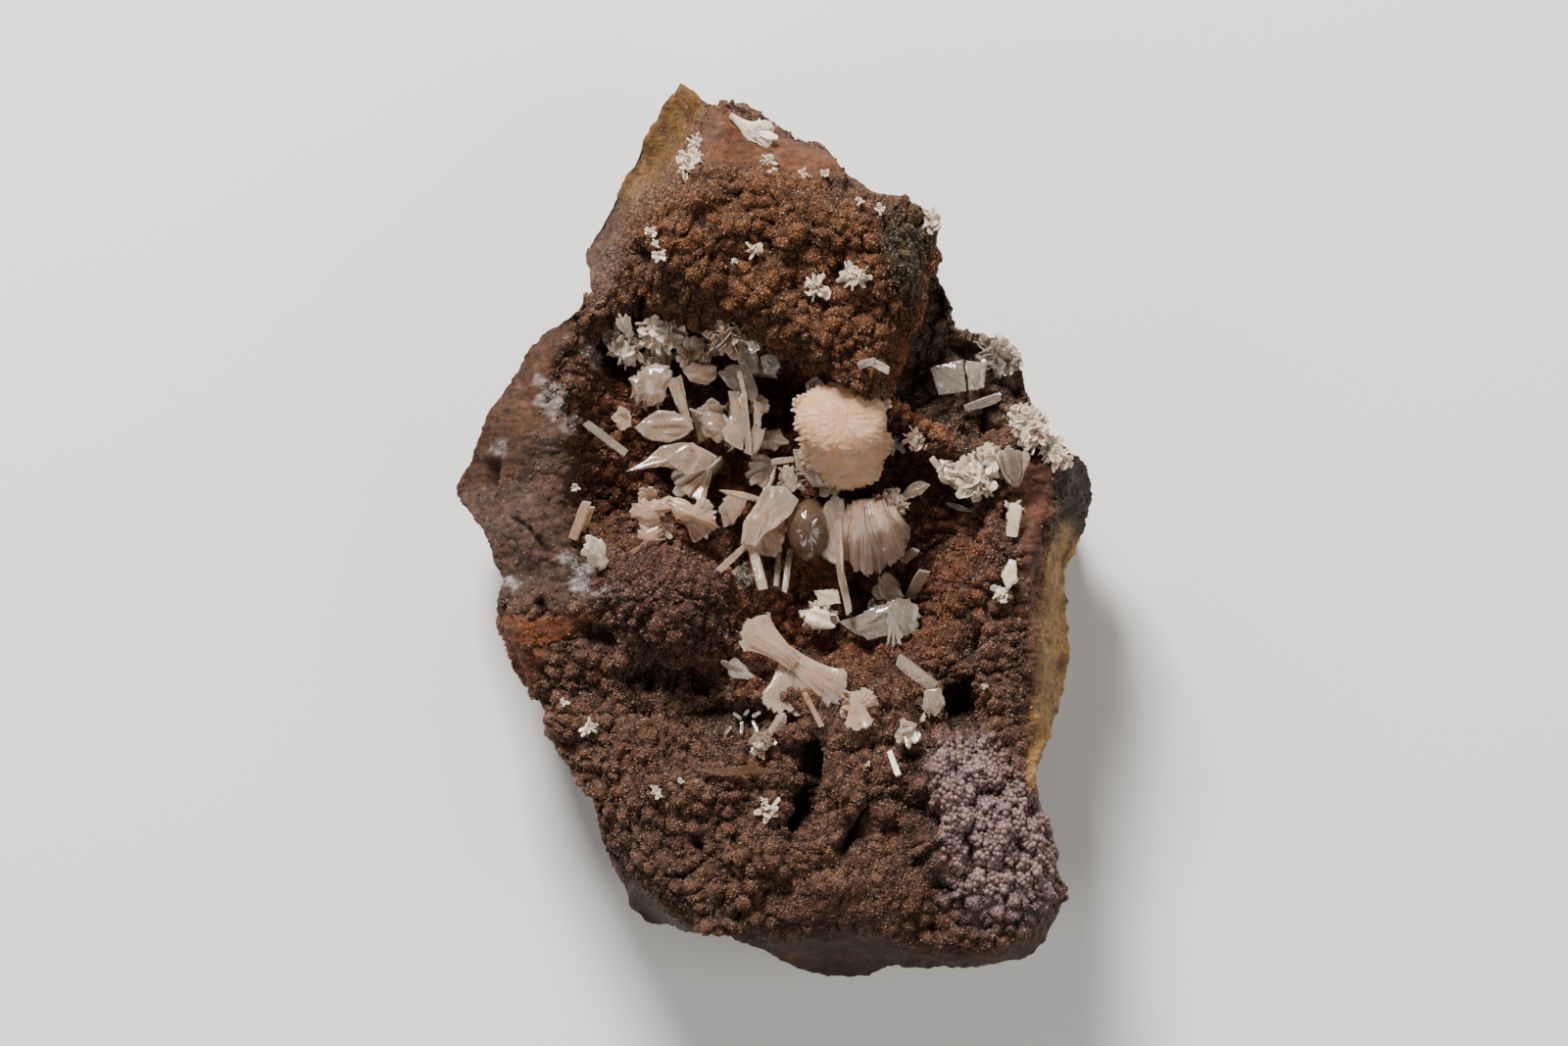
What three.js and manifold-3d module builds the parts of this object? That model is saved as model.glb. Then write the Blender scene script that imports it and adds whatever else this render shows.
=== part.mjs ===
// Brandtite on matrix: a small cabinet specimen that lies on its back, crystal face up.
// Millimetres, +Z up out of the crystal face, +Y towards the pointed end of the rock.
// The origin is under the middle of the rock, on the surface that it lies on.

import * as THREE from 'three';
import { mergeVertices } from 'three/addons/utils/BufferGeometryUtils.js';
import { ImprovedNoise } from 'three/addons/math/ImprovedNoise.js';
import Module from 'manifold-3d';

const wasm = await Module();
wasm.setup();

// Driving dimensions of the rock
const FACE_HEIGHT = 15.6; // general level of the crystal face above the resting surface
const RIM_HEIGHT = 6.5; // lowest level of the widest outline
const UNDERCUT = 0.13; // how far the back draws in, as a share of the outline's radius
const GRID_X = 32; // surface cells across the face
const GRID_Y = 42; // surface cells along the face
const WALL_ROWS = 3; // rows of cells from the rim down to the back
const PLAN_CENTRE = [0.9, -1.4]; // the outline is star-shaped about this point
const LUMP_SIZE = 3.1; // spacing of the broad lumps of the surface
const LUMP_HEIGHT = 0.75;
const KNOB_SIZE = 1.5; // spacing of the small knobs
const KNOB_HEIGHT = 0.32;
const SMOOTH_SIDE = [-19.0, -13.0]; // the relief grows from faint to full between these places along X
const FAINT_RELIEF = 0.35; // share of the relief on the smooth left side
const FACET_SIZES = [5.5, 2.4]; // breadths of the broken facets of the walls
const FACET_DEPTH = 0.085; // depth of the facets, as a share of the outline's radius

// Driving dimensions of the crystals
const CLEARANCE = 0.3; // gap between a crystal and the rock that it grew on
const BLADE_THICKNESS = 0.55;
const BALL_RADIUS = 3.3; // the large ball of radiating blades

// The outline of the rock seen from above, clockwise from the pointed end
const OUTLINE = [
  [-6.5, 32.0], [-5.4, 31.0], [-4.2, 30.3], [-3.6, 30.0], [-2.1, 30.4], [-0.5, 29.6], [0.9, 28.5],
  [4.2, 27.3], [4.9, 26.1], [5.1, 25.2], [7.1, 23.8], [9.1, 23.4], [11.0, 22.4], [11.9, 21.7],
  [12.0, 20.3], [11.5, 18.9], [12.6, 16.5], [12.5, 14.6], [14.4, 13.7], [16.1, 13.3], [18.1, 11.4],
  [18.8, 8.4], [20.1, 6.5], [22.4, 4.7], [22.9, 3.3], [22.6, 0.7], [21.9, -1.0], [21.2, -2.6],
  [21.0, -6.3], [21.5, -8.9], [21.0, -10.7], [19.2, -15.7], [18.6, -17.5], [18.8, -18.9],
  [20.6, -24.1], [20.9, -27.1], [19.9, -28.3], [18.4, -30.6], [16.3, -30.8], [8.2, -31.1],
  [6.5, -32.1], [3.7, -32.0], [1.1, -31.0], [-0.5, -29.9], [-2.6, -28.7], [-4.9, -28.2],
  [-9.6, -28.3], [-10.0, -26.4], [-11.7, -23.8], [-12.1, -22.0], [-12.4, -19.4], [-14.3, -17.1],
  [-15.8, -14.3], [-15.8, -13.1], [-17.7, -11.4], [-19.2, -8.0], [-19.9, -7.0], [-18.9, -3.5],
  [-20.1, -1.7], [-20.5, -0.1], [-22.9, 3.0], [-21.2, 5.4], [-20.5, 7.3], [-19.2, 9.5],
  [-16.6, 13.5], [-14.2, 15.2], [-12.7, 17.5], [-13.3, 20.0], [-12.1, 22.3], [-10.0, 26.0],
  [-9.2, 27.9], [-7.8, 30.3],
];

// Areas of the face that stand above or below its general level; softness is the width of the slope
const AREAS = {
  upperBulge: {
    rise: 3.6,
    softness: 1.9,
    outline: [
      [-8.4, 24.5], [-3.3, 25.8], [0.9, 25.0], [5.8, 24.0], [8.9, 23.0], [10.8, 20.7], [11.0, 17.5],
      [10.0, 15.1], [8.4, 12.3], [7.5, 9.1], [4.4, 9.8], [0.2, 13.3], [-3.3, 14.4], [-6.8, 15.6],
      [-9.3, 16.8], [-9.6, 20.3],
    ],
  },
  pocket: {
    rise: -4.6,
    softness: 2.2,
    outline: [
      [-11.7, 14.4], [-6.1, 14.0], [-1.2, 12.8], [3.0, 10.5], [7.5, 7.7], [12.1, 4.9], [14.9, 2.8],
      [13.8, -1.4], [12.1, -4.2], [11.4, -7.7], [7.2, -8.7], [2.3, -10.5], [-1.9, -8.4], [-2.6, -4.2],
      [-6.1, -1.4], [-10.3, -1.5], [-13.1, -0.7], [-13.8, 2.8], [-13.1, 7.7], [-12.8, 11.2],
    ],
  },
  rightRecess: {
    rise: -2.8,
    softness: 1.2,
    outline: [
      [11.6, 19.5], [10.7, 16.5], [9.6, 14.0], [8.7, 11.6], [8.3, 8.8], [11.0, 6.9], [13.8, 6.0],
      [17.0, 7.0], [18.0, 9.8], [17.3, 12.3], [14.9, 13.3], [12.8, 14.4], [12.2, 17.5],
    ],
  },
  backLobe: {
    rise: -8.0,
    softness: 1.6,
    outline: [
      [-4.2, 30.6], [-5.6, 28.0], [-6.8, 25.9], [-8.9, 24.2], [-10.3, 22.8], [-12.8, 17.2],
      [-15.9, 16.8], [-15.9, 23.8], [-10.3, 31.5], [-6.8, 34.3],
    ],
  },
  backCrest: {
    rise: -6.0,
    softness: 1.2,
    outline: [[-4.2, 30.6], [-2.8, 29.5], [-0.9, 28.2], [1.9, 27.5], [5.1, 27.3], [2.3, 31.5], [-1.9, 32.4]],
  },
  lowerSlope: {
    rise: 2.0,
    softness: 6.0,
    outline: [[-12.0, -17.0], [0.0, -15.0], [14.0, -13.0], [21.0, -14.0], [22.0, -33.0], [-12.0, -33.0]],
  },
};

// Broken edges: the face drops away outside each line, which runs with the rock on its right
const EDGES = {
  leftBevel: {
    drop: 7.5,
    width: 5.2,
    line: [
      [-18.7, -7.0], [-17.0, -3.5], [-18.0, 0.0], [-17.0, 3.5], [-17.7, 7.0], [-16.8, 10.9],
      [-14.9, 14.4], [-12.6, 17.9],
    ],
  },
  lowerLeftEdge: {
    drop: 6.5,
    width: 2.6,
    line: [[-9.6, -24.5], [-11.4, -21.7], [-13.1, -17.5], [-14.9, -14.7], [-15.9, -11.2], [-18.7, -7.0]],
  },
  bottomEdge: {
    drop: 10.0,
    width: 2.8,
    line: [
      [20.1, -26.9], [18.0, -28.8], [15.6, -29.8], [10.0, -29.5], [7.0, -28.4], [3.3, -28.8],
      [0.9, -28.9], [-4.7, -28.3], [-9.6, -24.7],
    ],
  },
  rightWall: {
    drop: 9.0,
    width: 2.4,
    line: [
      [17.3, 12.3], [18.0, 9.8], [19.1, 7.0], [20.8, 4.9], [20.5, 2.1], [19.5, -0.7], [19.1, -4.2],
      [19.1, -7.0], [18.9, -11.2], [18.6, -16.1], [18.4, -18.2], [19.2, -21.7], [19.9, -25.2],
      [20.1, -26.9],
    ],
  },
};

// Rounded lumps and hollows: place, radii, height (below nought for a hollow)
const KNOLLS = [
  { at: [-7.7, -5.2], radii: [4.6, 3.1], rise: 3.6 }, // purple-brown lump under the pocket
  { at: [-6.0, 20.5], radii: [3.0, 2.6], rise: 0.9 },
  { at: [2.5, 21.5], radii: [3.4, 2.4], rise: 1.0 },
  { at: [7.6, 18.6], radii: [2.6, 3.2], rise: 0.9 },
  { at: [4.6, 13.2], radii: [2.6, 2.2], rise: 0.7 },
  { at: [-6.6, -10.4], radii: [3.8, 0.9], rise: -1.7 }, // overhang's shadow below the lump
  { at: [12.6, -17.6], radii: [1.7, 1.6], rise: 1.3 },
  { at: [16.4, -18.2], radii: [1.8, 1.6], rise: 1.3 },
  { at: [14.0, -21.0], radii: [1.7, 1.8], rise: 1.4 },
  { at: [17.2, -22.4], radii: [1.8, 1.7], rise: 1.2 },
  { at: [14.6, -25.4], radii: [2.2, 1.6], rise: 1.3 },
  { at: [8.2, -26.4], radii: [3.4, 1.4], rise: 1.0 },
  { at: [13.1, -12.8], radii: [1.0, 1.5], rise: -2.6 }, // small cavity
  { at: [7.0, -18.6], radii: [2.0, 1.5], rise: 1.2 },
  { at: [-1.4, -22.6], radii: [3.0, 2.0], rise: 0.8 },
  { at: [-6.4, -18.4], radii: [3.2, 2.0], rise: 0.7 },
  { at: [-11.0, -14.6], radii: [2.6, 2.2], rise: 0.8 },
  { at: [15.8, -8.2], radii: [2.2, 4.0], rise: 0.9 },
  { at: [15.6, -2.0], radii: [2.4, 3.0], rise: 0.9 },
  { at: [14.6, 9.4], radii: [2.4, 1.8], rise: 0.8 },
  { at: [-3.6, 2.8], radii: [1.8, 1.5], rise: -0.9 },
  { at: [6.6, -4.6], radii: [1.8, 1.6], rise: -0.9 },
  { at: [-10.4, 7.4], radii: [2.2, 2.0], rise: 0.9 },
];

// Ridges and slits along a line: height and half width
const RIDGES = [
  { line: [[12.1, -15.9], [12.2, -20.3], [11.4, -22.7], [7.9, -23.8], [4.4, -25.0]], rise: 1.2, half: 0.9 },
  { line: [[8.4, 8.8], [10.2, 8.0], [12.6, 6.4]], rise: 1.3, half: 0.8 },
  { line: [[-7.6, -8.4], [-3.6, -8.6]], rise: 1.0, half: 0.9 },
  { line: [[2.4, -15.9], [2.6, -21.1]], rise: -3.2, half: 0.75 },
];

const noise = new ImprovedNoise();

function segmentDistance(x, y, [ax, ay], [bx, by]) {
  const dx = bx - ax;
  const dy = by - ay;
  const along = THREE.MathUtils.clamp(((x - ax) * dx + (y - ay) * dy) / (dx * dx + dy * dy), 0, 1);
  const side = Math.sign(dx * (y - ay) - dy * (x - ax)) || 1;
  return { distance: Math.hypot(x - ax - along * dx, y - ay - along * dy), side };
}

function lineDistance(x, y, line) {
  let nearest = { distance: Infinity, side: 1 };
  for (let i = 0; i + 1 < line.length; i += 1) {
    const found = segmentDistance(x, y, line[i], line[i + 1]);
    if (found.distance < nearest.distance - 1e-9) nearest = found;
  }
  return nearest;
}

function insideDepth(x, y, outline) {
  const closed = [...outline, outline[0]];
  const { distance } = lineDistance(x, y, closed);
  let inside = false;
  for (let i = 0; i + 1 < closed.length; i += 1) {
    const [ax, ay] = closed[i];
    const [bx, by] = closed[i + 1];
    if (ay > y !== by > y && x < ((bx - ax) * (y - ay)) / (by - ay) + ax) inside = !inside;
  }
  return inside ? distance : -distance;
}

function lumps(x, y, spacing, seed) {
  // rounded knobs with creases between them
  return 0.5 - Math.abs(noise.noise(x / spacing, y / spacing, seed)) * 2.2;
}

/** Height of the crystal face above the resting surface at a place of the plan. */
function faceHeight(x, y) {
  let z = FACE_HEIGHT;
  for (const { rise, softness, outline } of Object.values(AREAS)) {
    z += rise * THREE.MathUtils.smoothstep(insideDepth(x, y, outline), -softness / 2, softness / 2);
  }
  for (const { at, radii, rise } of KNOLLS) {
    const r2 = ((x - at[0]) / radii[0]) ** 2 + ((y - at[1]) / radii[1]) ** 2;
    z += rise * Math.exp(-r2 * r2 * 0.7);
  }
  for (const { line, rise, half } of RIDGES) {
    const { distance } = lineDistance(x, y, line);
    z += rise * Math.exp(-((distance / half) ** 2));
  }
  const rough = THREE.MathUtils.lerp(FAINT_RELIEF, 1, THREE.MathUtils.smoothstep(x, ...SMOOTH_SIDE));
  z += rough * LUMP_HEIGHT * lumps(x, y, LUMP_SIZE, 0.37);
  z += rough * KNOB_HEIGHT * lumps(x, y, KNOB_SIZE, 4.6);
  for (const { drop, width, line } of Object.values(EDGES)) {
    const { distance, side } = lineDistance(x, y, line);
    if (side > 0) z -= drop * Math.min(distance / width, 1) ** 0.8;
  }
  return Math.max(z, RIM_HEIGHT);
}

/** Radius of the outline in a direction from the plan's centre. */
function outlineRadius(angle) {
  const dx = Math.cos(angle);
  const dy = Math.sin(angle);
  let best = 0;
  for (let i = 0; i < OUTLINE.length; i += 1) {
    const [ax, ay] = OUTLINE[i];
    const [bx, by] = OUTLINE[(i + 1) % OUTLINE.length];
    const ex = bx - ax;
    const ey = by - ay;
    const px = ax - PLAN_CENTRE[0];
    const py = ay - PLAN_CENTRE[1];
    const across = dx * ey - dy * ex;
    if (Math.abs(across) < 1e-12) continue;
    const reach = (px * ey - py * ex) / across;
    const along = (px * dy - py * dx) / across;
    if (reach > 0 && along >= 0 && along <= 1) best = Math.max(best, reach);
  }
  return best;
}

/** A square's point to a disc's point that keeps areas alike. */
function squareToDisc(u, v) {
  if (u === 0 && v === 0) return { radius: 0, angle: 0 };
  if (Math.abs(u) > Math.abs(v)) {
    return { radius: Math.abs(u), angle: (Math.PI / 4) * (v / u) + (u < 0 ? Math.PI : 0) };
  }
  return { radius: Math.abs(v), angle: Math.PI / 2 - (Math.PI / 4) * (u / v) + (v < 0 ? Math.PI : 0) };
}

/** The matrix rock: the relief of the face, broken walls that draw in, and a flat back. */
function matrixRock() {
  const positions = [];
  const indices = [];
  const faceIndex = (i, j) => j * (GRID_X + 1) + i;
  for (let j = 0; j <= GRID_Y; j += 1) {
    for (let i = 0; i <= GRID_X; i += 1) {
      const { radius, angle } = squareToDisc((2 * i) / GRID_X - 1, (2 * j) / GRID_Y - 1);
      const reach = radius * outlineRadius(angle);
      const x = PLAN_CENTRE[0] + reach * Math.cos(angle);
      const y = PLAN_CENTRE[1] + reach * Math.sin(angle);
      positions.push(x, y, faceHeight(x, y));
    }
  }
  const place = (index) => new THREE.Vector3().fromArray(positions, index * 3);
  const span = (from, to) => place(from).distanceTo(place(to));
  for (let j = 0; j < GRID_Y; j += 1) {
    for (let i = 0; i < GRID_X; i += 1) {
      const a = faceIndex(i, j);
      const b = faceIndex(i + 1, j);
      const c = faceIndex(i + 1, j + 1);
      const d = faceIndex(i, j + 1);
      if (span(a, c) < span(b, d)) indices.push(a, b, c, a, c, d);
      else indices.push(a, b, d, b, c, d);
    }
  }
  let ring = [];
  for (let i = 0; i < GRID_X; i += 1) ring.push(faceIndex(i, 0));
  for (let j = 0; j < GRID_Y; j += 1) ring.push(faceIndex(GRID_X, j));
  for (let i = GRID_X; i > 0; i -= 1) ring.push(faceIndex(i, GRID_Y));
  for (let j = GRID_Y; j > 0; j -= 1) ring.push(faceIndex(0, j));
  const rim = ring.map(place);
  for (let row = 1; row <= WALL_ROWS; row += 1) {
    const down = row / WALL_ROWS;
    const next = rim.map((point) => {
      const x = point.x - PLAN_CENTRE[0];
      const y = point.y - PLAN_CENTRE[1];
      const [broad, small] = FACET_SIZES;
      const facets = noise.noise(x / broad, y / broad, 2.2 + down * 2.4)
        + 0.5 * noise.noise(x / small, y / small, 7.1 + down * 3);
      const draw = 1 - UNDERCUT * down ** 1.6 - FACET_DEPTH * Math.max(0, facets + 0.12);
      positions.push(PLAN_CENTRE[0] + x * draw, PLAN_CENTRE[1] + y * draw, point.z * (1 - down));
      return positions.length / 3 - 1;
    });
    for (let i = 0; i < ring.length; i += 1) {
      const k = (i + 1) % ring.length;
      indices.push(ring[i], next[i], ring[k], ring[k], next[i], next[k]);
    }
    ring = next;
  }
  positions.push(PLAN_CENTRE[0], PLAN_CENTRE[1], 0);
  const hub = positions.length / 3 - 1;
  for (let i = 0; i < ring.length; i += 1) indices.push(hub, ring[(i + 1) % ring.length], ring[i]);
  const geometry = new THREE.BufferGeometry();
  geometry.setAttribute('position', new THREE.Float32BufferAttribute(positions, 3));
  geometry.setIndex(indices);
  return geometry;
}

function toSolid(geometry) {
  const bare = geometry.clone();
  bare.deleteAttribute('normal');
  bare.deleteAttribute('uv');
  const merged = mergeVertices(bare, 1e-5);
  return new wasm.Manifold(
    new wasm.Mesh({
      numProp: 3,
      vertProperties: new Float32Array(merged.attributes.position.array),
      triVerts: new Uint32Array(merged.index.array),
    }),
  );
}

function toGeometry(solid) {
  const mesh = solid.getMesh();
  const geometry = new THREE.BufferGeometry();
  geometry.setAttribute('position', new THREE.BufferAttribute(new Float32Array(mesh.vertProperties), 3));
  geometry.setIndex(new THREE.BufferAttribute(new Uint32Array(mesh.triVerts), 1));
  return geometry;
}

/** The rock raised by the clearance, which the feet of the crystals are cut by. */
function raisedRock(geometry) {
  const raised = geometry.clone();
  raised.translate(0, 0, CLEARANCE);
  return toSolid(raised);
}

// Flat outlines of the crystal forms, as shares of width and length
const FORMS = {
  blade: [[-0.3, 0], [0.3, 0], [0.5, 0.74], [0.1, 1], [-0.5, 0.8]],
  spear: [[-0.12, 0], [0.12, 0], [0.5, 0.42], [0.0, 1], [-0.5, 0.5]],
  disc: [[-0.25, 0], [0.25, 0], [0.5, 0.5], [0.28, 1], [-0.26, 0.96], [-0.5, 0.45]],
  slab: [[-0.5, 0], [0.5, 0], [0.5, 1], [-0.4, 0.92]],
  flare: [[-0.16, 0], [0.16, 0], [0.5, 0.94], [0.0, 1.06], [-0.5, 0.92]],
};

/** One flat crystal from a foot to a tip; heights are above the face below the foot. */
function crystal({ form = 'blade', from, to, width, thick = BLADE_THICKNESS, roll = 0 }) {
  const ground = faceHeight(from[0], from[1]);
  const foot = new THREE.Vector3(from[0], from[1], ground + from[2]);
  const tip = new THREE.Vector3(to[0], to[1], ground + to[2]);
  const along = tip.clone().sub(foot);
  const length = along.length();
  along.normalize();
  const side = new THREE.Vector3(along.y, -along.x, 0);
  if (side.length() < 1e-3) side.set(1, 0, 0);
  side.normalize().applyAxisAngle(along, THREE.MathUtils.degToRad(roll));
  const facing = new THREE.Vector3().crossVectors(side, along);
  const outline = FORMS[form].map(([across, up]) => new THREE.Vector2(across * width, up * length));
  const geometry = new THREE.ExtrudeGeometry(new THREE.Shape(outline), { depth: thick, bevelEnabled: false });
  geometry.translate(0, 0, -thick / 2);
  geometry.applyMatrix4(new THREE.Matrix4().makeBasis(side, along, facing).setPosition(foot));
  return toSolid(geometry);
}

/** A stubby plate that carries crystals from the rock up to where they spread. */
function foot({ at, lean = [0.3, 0.3], width = 1.2, thick = 0.8, roll = 30 }) {
  const from = [at[0] - lean[0], at[1] - lean[1], -0.8];
  return crystal({ form: 'slab', from, to: [at[0] + 0.1, at[1] + 0.1, at[2]], width, thick, roll });
}

/** Blades that spread like a fan from one foot. */
function fan({
  form = 'blade', from, to, width, thick = BLADE_THICKNESS, roll = 0, count, spread, lift = 0.5,
}) {
  const dx = to[0] - from[0];
  const dy = to[1] - from[1];
  return Array.from({ length: count }, (_, i) => {
    const share = count > 1 ? i / (count - 1) - 0.5 : 0;
    const turn = THREE.MathUtils.degToRad(share * spread);
    const reach = 1 - 0.25 * Math.abs(share) + 0.08 * Math.sin(5 * i);
    const x = from[0] + reach * (dx * Math.cos(turn) - dy * Math.sin(turn));
    const y = from[1] + reach * (dx * Math.sin(turn) + dy * Math.cos(turn));
    const z = to[2] + lift * Math.cos(2.4 * i);
    return crystal({ form, from, to: [x, y, z], width, thick, roll: roll + 9 * Math.sin(3 * i) });
  });
}

/** Plates that stand round one root, as in a small rosette. */
function rosette({ at, radius, rise, count = 4, form = 'blade', width = radius, thick = 0.5, turn = 0 }) {
  const plates = [];
  for (let i = 0; i < count; i += 1) {
    const angle = THREE.MathUtils.degToRad(turn) + (i * 2 * Math.PI) / count;
    const reach = radius * (0.82 + 0.18 * Math.cos(2.7 * i));
    const top = at[2] + rise * (0.7 + 0.3 * Math.sin(1.9 * i));
    const to = [at[0] + reach * Math.cos(angle), at[1] + reach * Math.sin(angle), top];
    plates.push(crystal({ form, from: at, to, width, thick, roll: 62 * Math.sin(1.3 + 2.1 * i) }));
  }
  return plates;
}

/** A bun-shaped tier of packed blades with notches between their ends. */
function tier({ at, radii, notches, depth = 0.06, detail = 2, tilt = 0 }) {
  const geometry = new THREE.IcosahedronGeometry(1, detail);
  geometry.deleteAttribute('normal');
  geometry.deleteAttribute('uv');
  const ground = faceHeight(at[0], at[1]);
  const { position } = geometry.attributes;
  const point = new THREE.Vector3();
  for (let i = 0; i < position.count; i += 1) {
    point.fromBufferAttribute(position, i);
    const wave = 0.5 + 0.5 * Math.cos(notches * Math.atan2(point.y, point.x));
    const notch = 1 - depth * wave * (1 - point.z ** 2);
    position.setXYZ(i, point.x * radii[0] * notch, point.y * radii[1] * notch, point.z * radii[2]);
  }
  geometry.rotateX(THREE.MathUtils.degToRad(tilt));
  geometry.translate(at[0], at[1], ground + at[2]);
  return toSolid(geometry);
}

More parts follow.
